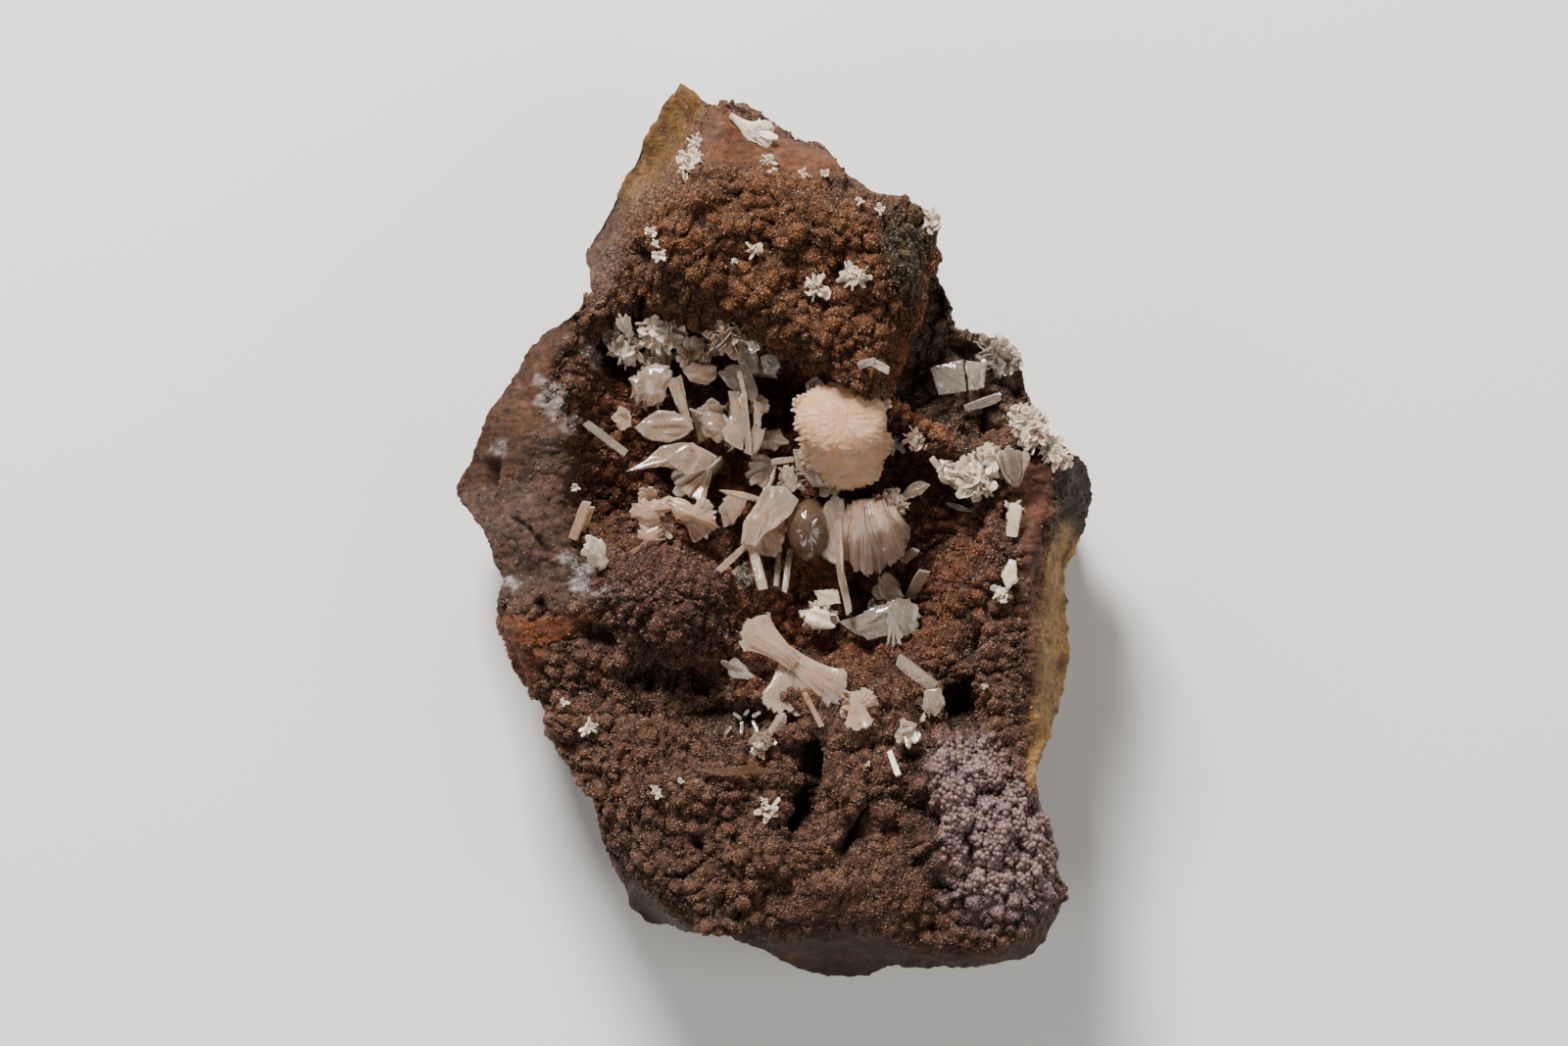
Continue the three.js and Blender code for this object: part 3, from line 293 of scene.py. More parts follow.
# Deep pits and slits: line on the plan, half width and depth, in mm
PITS = [
    ([(2.9, -15.4), (2.6, -18.4), (1.9, -20.6)], 0.4, 1.4),
    ([(13.0, -11.6), (13.2, -13.4)], 0.6, 0.5),
    ([(14.2, -7.4), (14.1, -8.4)], 0.5, 1.6),
    ([(15.2, -18.2), (15.8, -18.5)], 0.55, 1.4),
    ([(17.2, -22.0), (17.6, -22.4)], 0.5, 1.4),
    ([(11.6, -24.9), (12.2, -25.1)], 0.45, 1.3),
    ([(13.8, -21.4), (14.0, -22.8)], 0.35, 1.2),
    ([(11.3, -28.0), (11.8, -28.2)], 0.45, 1.0),
    ([(-9.7, 19.6), (-9.5, 19.0)], 0.55, 1.3),
    ([(-9.4, 15.6), (-9.2, 14.8)], 0.55, 1.3),
    ([(-5.4, -21.8), (-5.4, -22.2)], 0.45, 1.0),
    ([(-2.6, -21.5), (-2.6, -21.9)], 0.4, 0.9),
    ([(-2.3, -27.0), (-2.3, -27.5)], 0.4, 1.0),
    ([(-19.8, 4.6), (-19.9, 3.2)], 0.4, 0.9),
    ([(-16.4, -5.2), (-16.2, -6.0)], 0.35, 0.8),
    ([(-18.5, 0.9), (-17.2, 0.2), (-15.9, -1.4)], 0.16, 0.45),
    ([(-10.0, -10.2), (-6.8, -10.6), (-3.4, -10.7)], 0.7, 0.5),
    ([(-13.2, -7.4), (-11.8, -8.2)], 0.6, 1.2),
    ([(-7.1, 3.8), (-6.4, 3.0)], 0.8, 1.2),
    ([(2.6, 8.6), (3.2, 9.6)], 0.6, 1.2),
    ([(-10.2, -24.4), (-6.2, -24.2)], 0.18, 0.6),
    ([(7.6, -9.6), (9.4, -9.2)], 0.7, 1.1),
    ([(6.6, -17.4), (7.0, -19.4), (6.1, -21.1), (4.7, -22.5)], 0.4, 1.2),
    ([(9.2, -18.8), (11.2, -20.2)], 0.9, 1.4),
    ([(10.2, -23.4), (11.6, -22.3)], 0.4, 1.0),
    ([(-5.8, -12.6), (-4.1, -12.7), (-1.7, -12.9), (1.2, -13.2)], 0.7, 1.3),
    ([(-9.6, -12.4), (-8.4, -13.0)], 0.5, 0.9),
]

# Sharp ridges: line on the plan, half width and height, in mm; the first ones are rusty veins
CRESTS = [
    ([(11.6, 19.4), (10.6, 16.5), (9.6, 14.0), (8.7, 11.6), (8.3, 8.9)], 0.22, 0.5),
    ([(8.3, 8.7), (10.2, 7.9), (12.6, 6.2)], 0.35, 0.6),
    ([(12.1, -16.0), (12.2, -20.3), (11.4, -22.7), (7.9, -24.0), (4.4, -25.0)], 0.8, 0.5),
]
VEIN_COUNT = 2
VEIN_HALF = 0.3  # half width of a vein's stain, in mm


# Nodes and materials

def add_node(tree, kind, settings=None, inputs=None):
    """Adds a node with its settings; each input is given a value or the socket that feeds it."""
    node = tree.nodes.new(kind)
    for name, value in (settings or {}).items():
        setattr(node, name, value)
    for key, value in (inputs or {}).items():
        if isinstance(value, bpy.types.NodeSocket):
            tree.links.new(value, node.inputs[key])
        else:
            node.inputs[key].default_value = value
    return node


def new_material(name):
    material = bpy.data.materials.new(name)
    material.use_nodes = True
    tree = material.node_tree
    tree.nodes.clear()
    return material, tree


def mixed(tree, share, first, second, blend="MIX"):
    """The colour output of a mix of two colours."""
    mix = add_node(
        tree, "ShaderNodeMix", {"data_type": "RGBA", "blend_type": blend}, {0: share, 6: first, 7: second})
    return mix.outputs[2]


def product(tree, first, second):
    return add_node(tree, "ShaderNodeMath", {"operation": "MULTIPLY"}, {0: first, 1: second}).outputs[0]


def attribute(tree, name):
    return add_node(tree, "ShaderNodeAttribute", {"attribute_name": name}).outputs["Fac"]


def scaled(tree, value, times, plus=0.0):
    return add_node(
        tree, "ShaderNodeMath", {"operation": "MULTIPLY_ADD", "use_clamp": True},
        {0: value, 1: times, 2: plus}).outputs[0]


def noise_value(tree, coords, size_mm, detail=3.0, roughness=0.6):
    """A noise whose features are size_mm across."""
    pattern = add_node(tree, "ShaderNodeTexNoise", None, {
        "Vector": coords, "Scale": 1 / (size_mm * MM), "Detail": detail, "Roughness": roughness})
    return pattern.outputs["Fac"]


# The colour setting that paints each zone, in the order in which they are laid over each other
ZONE_TONES = {
    "zone_red": "bulge", "zone_dark": "pocket", "zone_purple": "lump", "zone_lilac": "lilac",
    "zone_recess": "recess", "zone_tan": "tan", "zone_smooth_left": "bevel", "zone_rim": "rust",
    "zone_back_lobe": "lobe", "zone_terracotta": "terracotta", "zone_lobe_foot": "tan", "zone_olive": "olive",
    "zone_under": "under", "zone_right_strip": "strip", "zone_ochre": "ochre", "zone_side": "side",
    "zone_corner": "corner", "zone_chalk": "chalk", "zone_vein": "vein",
}


def zone_colour(tree, coords, look):
    """The rock's colour: each zone's colour over the last, then mottled (painted shade is added later)."""
    colour = rgba(look.slope_colour)
    for name, tone in ZONE_TONES.items():
        colour = mixed(tree, attribute(tree, name), colour, rgba(getattr(look, tone + "_colour")))
    shaded = scaled(tree, noise_value(tree, coords, 3.6), 3.0, -1.5)
    colour = mixed(tree, scaled(tree, shaded, 0.35), colour, rgba(look.under_colour))
    rusty = scaled(tree, noise_value(tree, coords, 2.6), 2.6, -1.25)
    colour = mixed(tree, scaled(tree, rusty, 0.4), colour, rgba(look.rust_colour))
    bare = scaled(tree, attribute(tree, "druse"), -1.0, 1.0)
    veins = scaled(tree, noise_value(tree, coords, 1.4, 6.0, 0.7), 6.0, -2.9)
    bare_veins = product(tree, bare, veins)
    colour = mixed(tree, scaled(tree, bare_veins, 0.85), colour, rgba(look.under_colour))
    pale = scaled(tree, noise_value(tree, coords, 1.1), 3.0, -1.6)
    return mixed(tree, scaled(tree, pale, 0.22), colour, rgba(look.pale_colour))


def rock_material(look):
    """Iron-stained dolomite and jasper: dull, brown and rough, with smooth jasper on the broken edges."""
    material, tree = new_material("iron-stained dolomite rock")
    coords = add_node(tree, "ShaderNodeTexCoord").outputs["Object"]
    colour = zone_colour(tree, coords, look)
    # Painted shade: the rock is darkened in its creases and pits by the hollow attribute
    hollow = attribute(tree, "hollow")
    shade = mixed(tree, scaled(tree, hollow, look.painted_crease_shade), colour, rgba(look.crease_shade_and_dark_grain_colour))
    fine = scaled(tree, noise_value(tree, coords, 0.5, 6.0, 0.75), 3.2, -1.15)
    specks = add_node(tree, "ShaderNodeValToRGB", None, {"Fac": fine})
    speckled = mixed(tree, 0.6, shade, specks.outputs["Color"], "OVERLAY")
    grain = noise_value(tree, coords, look.grit_size, 5.0, 0.75)
    bump = add_node(tree, "ShaderNodeBump", None, {"Strength": 0.8, "Distance": 0.25 * MM, "Height": grain})
    surface = add_node(tree, "ShaderNodeBsdfPrincipled", None, {
        "Base Color": speckled, "Roughness": 0.7, "IOR": 1.55, "Specular IOR Level": 0.25,
        "Normal": bump.outputs["Normal"]})
    add_node(tree, "ShaderNodeOutputMaterial", None, {"Surface": surface.outputs[0]})
    return material


def druse_material(look):
    """Druse of tiny dolomite and quartz points over the rock: brown, with glints on single faces."""
    material, tree = new_material("dolomite druse")
    coords = add_node(tree, "ShaderNodeTexCoord").outputs["Object"]
    colour = zone_colour(tree, coords, look)
    # Painted shade: the druse is darkened in the rock's creases and pits by the hollow attribute
    hollow = attribute(tree, "hollow")
    shade = mixed(tree, scaled(tree, hollow, look.painted_crease_shade * 0.8), colour, rgba(look.crease_shade_and_dark_grain_colour))
    # Painted glint: grains with a high random tint are lightened toward the glint colour; grains with a low one
    # are darker at random
    tint = attribute(tree, "tint")
    lighter = mixed(tree, scaled(tree, tint, 0.9, -0.5), shade, rgba(look.painted_glint_colour))
    darker = mixed(tree, scaled(tree, tint, -0.6, 0.2), lighter, rgba(look.crease_shade_and_dark_grain_colour))
    facets = noise_value(tree, coords, 0.09, 2.0, 0.7)
    bump = add_node(tree, "ShaderNodeBump", None, {"Strength": 0.8, "Distance": 0.06 * MM, "Height": facets})
    surface = add_node(tree, "ShaderNodeBsdfPrincipled", None, {
        "Base Color": darker, "Roughness": 0.46, "IOR": 1.6, "Specular IOR Level": 0.25,
        "Normal": bump.outputs["Normal"]})
    add_node(tree, "ShaderNodeOutputMaterial", None, {"Surface": surface.outputs[0]})
    return material


# How much red, green and blue light the deeper parts of a crystal still give back
DEEP_SHARES = (0.66, 0.52, 0.38)
BRANDTITE_IOR = 1.71
# How far red, green and blue light spread in a milky crystal, as shares of the depth in mm
MILK_SPREAD = (1.0, 0.8, 0.55)
MILK_DEPTH = 0.4


def crystal_material(
        name, colour, frost_veil_and_highlight_colour, stain_colour, see_through, milk, roughness, frost, stain, sugar):
    """Brandtite: glassy to pearly flat faces, with frost and painted highlight on edges and breaks, and rust at
    the foot.
    """
    material, tree = new_material(name)
    coords = add_node(tree, "ShaderNodeTexCoord").outputs["Object"]
    cloudy = scaled(tree, noise_value(tree, coords, 0.9, 4.0), 2.4, -0.85)
    edge = attribute(tree, "edge")
    tone = mixed(tree, scaled(tree, cloudy, 0.4), rgba(colour), rgba(frost_veil_and_highlight_colour))
    deep = scaled(tree, noise_value(tree, coords, 1.3, 3.0), 3.4, -1.4)
    deep_colour = [channel * share for channel, share in zip(colour, DEEP_SHARES)]
    tone = mixed(tree, scaled(tree, deep, 0.45), tone, rgba(deep_colour))
    # Frost and painted highlight: the edge share whitens edges, breaks, ridge crests and raised ribs
    tone = mixed(tree, scaled(tree, edge, frost), tone, rgba(frost_veil_and_highlight_colour))
    spots = scaled(tree, noise_value(tree, coords, 0.55, 3.0), 5.0, -2.7)
    rust = product(tree, spots, attribute(tree, "foot"))
    tone = mixed(tree, scaled(tree, rust, stain), tone, rgba(stain_colour))
    crinkles = noise_value(tree, coords, 0.55, 3.0, 0.6)
    broad = add_node(tree, "ShaderNodeBump", None, {
        "Strength": 0.6 - 0.5 * see_through, "Distance": 0.3 * MM, "Height": crinkles})
    lines = noise_value(tree, coords, 0.14, 4.0, 0.7)
    bump = add_node(tree, "ShaderNodeBump", None, {
        "Strength": sugar, "Distance": 0.14 * MM, "Height": lines, "Normal": broad.outputs["Normal"]})
    surface = add_node(tree, "ShaderNodeBsdfPrincipled", None, {
        "Base Color": tone, "Roughness": roughness, "IOR": BRANDTITE_IOR, "Transmission Weight": see_through,
        "Subsurface Weight": milk, "Subsurface Radius": MILK_SPREAD, "Subsurface Scale": MILK_DEPTH * MM,
        "Normal": bump.outputs["Normal"]})
    add_node(tree, "ShaderNodeOutputMaterial", None, {"Surface": surface.outputs[0]})
    return material


# Settings

class RockSettings(bpy.types.PropertyGroup):
    """Sizes and colours of the matrix rock and its druse."""

    cells_across: IntProperty(name="Cells across", description="Mesh cells across the face", default=200)
    cells_along: IntProperty(name="Cells along", description="Mesh cells along the face", default=284)
    wall_rows: IntProperty(name="Wall rows", description="Rows of mesh cells down the sides", default=22)
    smoothing: FloatProperty(name="Smoothing", description="Smoothing of the facets, in mm", default=0.42)
    boulder_size: FloatProperty(
        name="Boulder size", description="Spacing of the largest lumps, in mm", default=3.7)
    boulder_height: FloatProperty(
        name="Boulder height", description="Height of the largest lumps, in mm", default=1.5)
    lump_size: FloatProperty(name="Lump size", description="Spacing of the druse's lumps, in mm", default=1.1)
    lump_height: FloatProperty(name="Lump height", description="Height of the lumps, in mm", default=0.72)
    knob_size: FloatProperty(
        name="Knob size", description="Spacing of the knobs on the lumps, in mm", default=0.55)
    knob_height: FloatProperty(name="Knob height", description="Height of the knobs, in mm", default=0.24)
    grit_size: FloatProperty(name="Grit size", description="Size of the bare rock's grit, in mm", default=0.3)
    grain_size: FloatProperty(
        name="Grain size", description="Width of one druse crystal, in mm", default=0.236)
    grain_spacing: FloatProperty(
        name="Grain spacing", description="Least gap between grains, in mm", default=0.15)
    grain_density: FloatProperty(name="Grain density", description="Druse grains on each mm2", default=62.0)
    # Painted shade: how dark the creases and pits are painted
    painted_crease_shade: FloatProperty(name="Hollow shade", description="How dark the creases are", default=0.85)
    slope_colour: colour_property("Slope", "Brown druse of the lower slope", "#5a3a28")
    bulge_colour: colour_property("Bulge", "Reddish druse of the upper bulge", "#623817")
    pocket_colour: colour_property("Pocket", "Dark druse in the pocket", "#5a3018")
    lump_colour: colour_property("Lump", "Purple-brown lump", "#4a2a20")
    lilac_colour: colour_property("Lilac", "Lilac-grey lumps of the lower right", "#8e7270")
    recess_colour: colour_property("Recess", "Grey-brown recess on the right", "#5a4634")
    tan_colour: colour_property("Tan", "Tan plates on the left", "#4c3528")
    bevel_colour: colour_property("Bevel", "Smooth brown broken edge on the left", "#4e301c")
    rust_colour: colour_property("Rust", "Rust stains and rims", "#643210")
    lobe_colour: colour_property("Lobe", "Ochre lower lobe behind the top", "#6a4a22")
    terracotta_colour: colour_property("Terracotta", "Smooth facet at the top", "#5c3417")
    olive_colour: colour_property("Olive", "Dark olive mottling at the upper right", "#3c2d18")
    under_colour: colour_property("Under", "Dark broken edge at the bottom", "#33200f")
    strip_colour: colour_property("Strip", "Pink-brown strip on the right", "#5a3222")
    ochre_colour: colour_property("Ochre", "Ochre side wall on the right", "#967038")
    side_colour: colour_property("Side", "Broken rock of the sides and back", "#4c3018")
    corner_colour: colour_property("Corner", "Purple-black corner on the right", "#26160f")
    chalk_colour: colour_property("Chalk", "Chalky patches", "#a0948f")
    pale_colour: colour_property("Pale", "Pale specks", "#a98a72")
    # Painted glint: the colour toward which random grains are lightened
    painted_glint_colour: colour_property("Glint", "Lightest druse grains", "#9a7656")
    vein_colour: colour_property("Vein", "Rusty vein beside the pocket", "#8c4a1c")
    # Painted shade colour of the creases and pits, also the colour of random dark grains
    crease_shade_and_dark_grain_colour: colour_property("Crevice", "Darkest creases", "#0a0503")


class CrystalSettings(bpy.types.PropertyGroup):
    """Colours and clarity of the crystals."""

    peach_colour: colour_property("Peach", "The large ball", "#e4a870")
    cream_colour: colour_property("Cream", "Cream sprays and bow-tie", "#f4caa4")
    pale_colour: colour_property("Pale", "Nearly clear blades", "#f6d6b6")
    clear_colour: colour_property("Clear", "Clear plates", "#f8e8d6")
    white_colour: colour_property("White", "White rosettes and crusts", "#ffe4c6")
    amber_colour: colour_property("Amber", "Brown clear crystals", "#c0946c")
    # Frost and painted highlight on edges, breaks, ridges and ribs, and the colour of the crystals' cloudy veils
    frost_veil_and_highlight_colour: colour_property("Edge", "Edges and breaks", "#fff2e2")
    stain_colour: colour_property("Stain", "Rust at the crystals' feet", "#8a4210")
    thinness: FloatProperty(
        name="Thinness", description="Blade thickness as a share of the CAD model's", default=0.7)


class StageSettings(bpy.types.PropertyGroup):
    """Floor, lights and camera."""

    floor_colour: colour_property("Floor", "Pale floor", "#e6e3de")
    key_power: FloatProperty(name="Key light", description="Power of the key light, in watts", default=5.2)
    fill_power: FloatProperty(name="Fill light", description="Power of the fill light, in watts", default=0.9)
    sky_strength: FloatProperty(name="Sky", description="Strength of the surroundings", default=0.13)
    view_width: FloatProperty(
        name="View width", description="Width of the view at the rock, in mm", default=112.0)
    lens: FloatProperty(name="Lens", description="Focal length, in mm", default=165.0)


SETTINGS = {
    "brandtite_rock": RockSettings,
    "brandtite_crystals": CrystalSettings,
    "brandtite_stage": StageSettings,
}


# Finishing a piece

def finish_piece(mesh, name, material, replaced):
    """Makes the object of a mesh, at the origin, riding on the specimen's only body."""
    piece = bpy.data.objects.new(name, mesh)
    bpy.context.scene.collection.objects.link(piece)
    mesh.materials.clear()
    mesh.materials.append(material)
    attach(piece, "root")
    if replaced:
        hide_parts(*replaced)
    return piece


def store(mesh, name, values):
    found = mesh.attributes.get(name) or mesh.attributes.new(name, "FLOAT", "POINT")
    found.data.foreach_set("value", np.asarray(values, np.float32))


def coordinates(mesh):
    flat = np.empty(len(mesh.vertices) * 3, np.float32)
    mesh.vertices.foreach_get("co", flat)
    return flat.reshape(-1, 3).astype(float)


# The rock

def square_to_disc(u, v):
    """A square's points to a disc's, with areas kept alike."""
    across = np.abs(u) > np.abs(v)
    radius = np.where(across, np.abs(u), np.abs(v))
    with np.errstate(divide="ignore", invalid="ignore"):
        a = math.pi / 4 * v / u + np.where(u < 0, math.pi, 0)
        b = math.pi / 2 - math.pi / 4 * u / v + np.where(v < 0, math.pi, 0)
    angle = np.where(across, a, b)
    angle[radius == 0] = 0
    return radius, angle


def rock_grid(look):
    """Corners in mm and faces of the rock: a fine face, sides of level rows, and a flat back."""
    nx, ny = look.cells_across, look.cells_along
    heights = HeightMap(look.smoothing)
    turns = np.linspace(-math.pi / 2, 2 * math.pi, OUTLINE_TURNS)
    levels = np.arange(*OUTLINE_LEVELS)
    reach = np.array([max(side_radius(a, z) for z in levels) for a in turns])
    padded = np.pad(reach, OUTLINE_WINDOW // 2, "edge")
    around = np.lib.stride_tricks.sliding_window_view(padded, OUTLINE_WINDOW)
    reach = np.median(around, axis=1)
    padded = np.pad(reach, len(OUTLINE_WEIGHTS) // 2, "edge")
    reach = np.convolve(padded, OUTLINE_WEIGHTS, "valid")
    reach += TIP_REACH * np.exp(-np.abs(turns - TIP_TURN) / TIP_BREADTH)

    u, v = np.meshgrid(np.linspace(-1, 1, nx + 1), np.linspace(-1, 1, ny + 1))
    radius, angle = square_to_disc(u.ravel(), v.ravel())
    distance = radius * np.interp(angle, turns, reach)
    x = PLAN_CENTRE[0] + distance * np.cos(angle)
    y = PLAN_CENTRE[1] + distance * np.sin(angle)
    corners = np.column_stack([x, y, heights(x, y)])

    cells = np.arange((nx + 1) * (ny + 1)).reshape(ny + 1, nx + 1)
    faces = [np.column_stack([
        cells[:-1, :-1].ravel(), cells[:-1, 1:].ravel(), cells[1:, 1:].ravel(), cells[1:, :-1].ravel()])]
    ring = np.concatenate([cells[0, :-1], cells[:-1, -1], cells[-1, :0:-1], cells[:0:-1, 0]])
    rim_angle = angle[ring]
    rim = corners[ring]
    rows = look.wall_rows
    sides = np.zeros((rows, len(ring)))
    for row in range(rows):
        down = (row + 1) / rows
        for k, (turn, top) in enumerate(zip(rim_angle, rim[:, 2])):
            sides[row, k] = side_radius(turn, max(top * (1 - down), 0.05))
    rim_reach = np.hypot(rim[:, 0] - PLAN_CENTRE[0], rim[:, 1] - PLAN_CENTRE[1])
    sides = np.where(sides > 1, sides, rim_reach)
    padded = np.concatenate([sides[:, -8:], sides, sides[:, :8]], axis=1)
    sides = blurred(padded, np.ones(padded.shape), 1.2)[:, 8:-8]
    sides = np.minimum(sides, rim_reach)
    layers = [corners]
    for row in range(rows):
        down = (row + 1) / rows
        layers.append(np.column_stack([
            PLAN_CENTRE[0] + sides[row] * np.cos(rim_angle), PLAN_CENTRE[1] + sides[row] * np.sin(rim_angle),
            rim[:, 2] * (1 - down)]))
        start = sum(len(layer) for layer in layers[:-1])
        lower = start + np.arange(len(ring))
        faces.append(np.column_stack([ring, lower, np.roll(lower, -1), np.roll(ring, -1)]))
        ring = lower
    layers.append(np.array([[PLAN_CENTRE[0], PLAN_CENTRE[1], 0.0]]))
    hub = sum(len(layer) for layer in layers[:-1])
    back = [(hub, int(b), int(a)) for a, b in zip(ring, np.roll(ring, -1))]
    face_count = len(corners)
    return np.vstack(layers), np.vstack(faces).tolist() + back, face_count


def zone_masks(points, face_count, rows):
    """Each zone's share at each corner; the sides, in rows, and the back have a zone of their own."""
    x, y, _ = points.T
    on_face = np.zeros(len(points))
    on_face[:face_count] = 1
    wander = clouds(points, 2.0, 3.0)
    strayed = y + SIDE_STRAY * clouds(points, 6.0, 9.0) * (1 - on_face)
    masks = {name: inside(x, strayed, outline, softness) for name, (softness, outline) in ZONES.items()}
    crumbs = clouds(points, 0.5, 8.0)
    for name in masks:
        masks[name] = np.clip(masks[name] * (1.0 + 0.55 * wander * (masks[name] < 0.98)), 0, 1)
    row = (np.arange(len(points)) - face_count) * rows / (len(points) - face_count)
    masks["zone_side"] = 0.85 * smoothstep(row + 2.5 * wander, 0.0, 5.0) * (1 - on_face)
    masks["zone_side"] *= 1 - masks["zone_ochre"]
    chalk = np.zeros(len(points))
    for cx, cy, size in CHALK_PATCHES:
        d = np.hypot(x - PLAN_SHIFT[0] - cx, y - PLAN_SHIFT[1] - cy) / size
        chalk = np.maximum(chalk, smoothstep(d + 0.5 * wander + 0.5 * crumbs, 1.0, 0.4))
    masks["zone_chalk"] = chalk * 0.8 * on_face
    veins = [near_line(x, y, line, VEIN_HALF) for line, _, _ in CRESTS[:VEIN_COUNT]]
    masks["zone_vein"] = np.maximum.reduce(veins) * 0.8 * on_face
    smooth = np.maximum.reduce([
        masks["zone_smooth_left"] * 0.85, masks["zone_terracotta"] * 0.9, masks["zone_tan"] * 0.7,
        masks["zone_under"], masks["zone_ochre"], masks["zone_corner"] * 0.7, masks["zone_back_lobe"] * 0.75,
        masks["zone_right_strip"] * 0.8, masks["zone_rim"] * 0.6, 1 - on_face])
    masks["druse"] = np.clip(1 - smooth, 0, 1)
    return masks


def build_rock_mesh(look):
    corners, faces, face_count = rock_grid(look)
    mesh = bpy.data.meshes.new("matrix_rock_surface")
    mesh.from_pydata((corners * MM).tolist(), [], faces)
    mesh.update()
    normals = np.empty(len(corners) * 3, np.float32)
    mesh.vertex_normals.foreach_get("vector", normals)
    normals = normals.reshape(-1, 3).astype(float)
    masks = zone_masks(corners, face_count, look.wall_rows)
    druse = masks["druse"]

    boulders = domes(corners, look.boulder_size, 6.0)
    lumps = domes(corners, look.lump_size, 1.0)
    knobs = domes(corners, look.knob_size, 2.0)
    calm = 1 - 0.75 * masks["zone_shelf"]
    rugged = calm * (0.6 - 0.15 * masks["zone_dark"])
    knobby = 1 + 0.5 * masks["zone_lilac"] + 0.15 * masks["zone_red"]
    swell = clouds(corners, 4.5, 4.0)
    chips = each_point(corners, lambda p: noise.ridged_multi_fractal(p / 3.2, 1.0, 2.0, 4, 1.0, 2.0)) - 1.1
    growth = look.boulder_height * rugged * (boulders - 0.7)
    growth = growth + look.lump_height * calm * knobby * (lumps - 0.55)
    growth = druse * (growth + look.knob_height * (knobs - 0.5)) + 0.35 * swell
    growth += (1 - druse) * (0.2 * chips + 0.12 * (knobs - 0.5) + masks["zone_ochre"] * 0.1 * (lumps - 0.5))
    growth += masks["zone_side"] * (0.35 * chips + 0.9 * (boulders - 0.7))
    x, y = corners[:, 0], corners[:, 1]
    pit = np.zeros(len(corners))
    for line, half, depth in PITS:
        share = near_line(x, y, line, half)
        growth -= depth * share
        pit = np.maximum(pit, share)
    for line, half, height in CRESTS:
        growth += height * near_line(x, y, line, half)
    growth *= smoothstep(corners[:, 2], 0.0, 1.2)
    growth = np.clip(growth, *RELIEF_LIMITS)
    moved = corners + normals * growth[:, None]
    moved[:, 2] = np.maximum(moved[:, 2], 0)
    moved[corners[:, 2] <= 0, 2] = 0
    mesh.vertices.foreach_set("co", (moved * MM).astype(np.float32).ravel())
    mesh.update()

    # Painted shade: a darkness for the creases between lumps and knobs, between boulders and in the pits, stored
    # as the hollow attribute for the materials
    crease = druse * np.clip(1.15 - 1.1 * lumps - 0.5 * knobs, 0, 1)
    crease = crease + 0.7 * rugged * druse * (1 - boulders) ** 2
    hollow = np.clip(crease + 0.6 * pit, 0, 1)
    for name, values in masks.items():
        store(mesh, name, values)
    store(mesh, "hollow", hollow)
    store(mesh, "tint", np.full(len(corners), 0.5))
    mesh.polygons.foreach_set("use_smooth", np.ones(len(mesh.polygons), bool))
    return mesh


class BRANDTITE_OT_rock(bpy.types.Operator):
    """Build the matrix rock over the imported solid"""

    bl_idname = "brandtite.rock"
    bl_label = "Matrix rock"

    def execute(self, context):
        look = context.scene.brandtite_rock
        mesh = build_rock_mesh(look)
        finish_piece(mesh, "matrix_rock_surface", rock_material(look), [ROCK_NODE])
        return {"FINISHED"}


# The druse

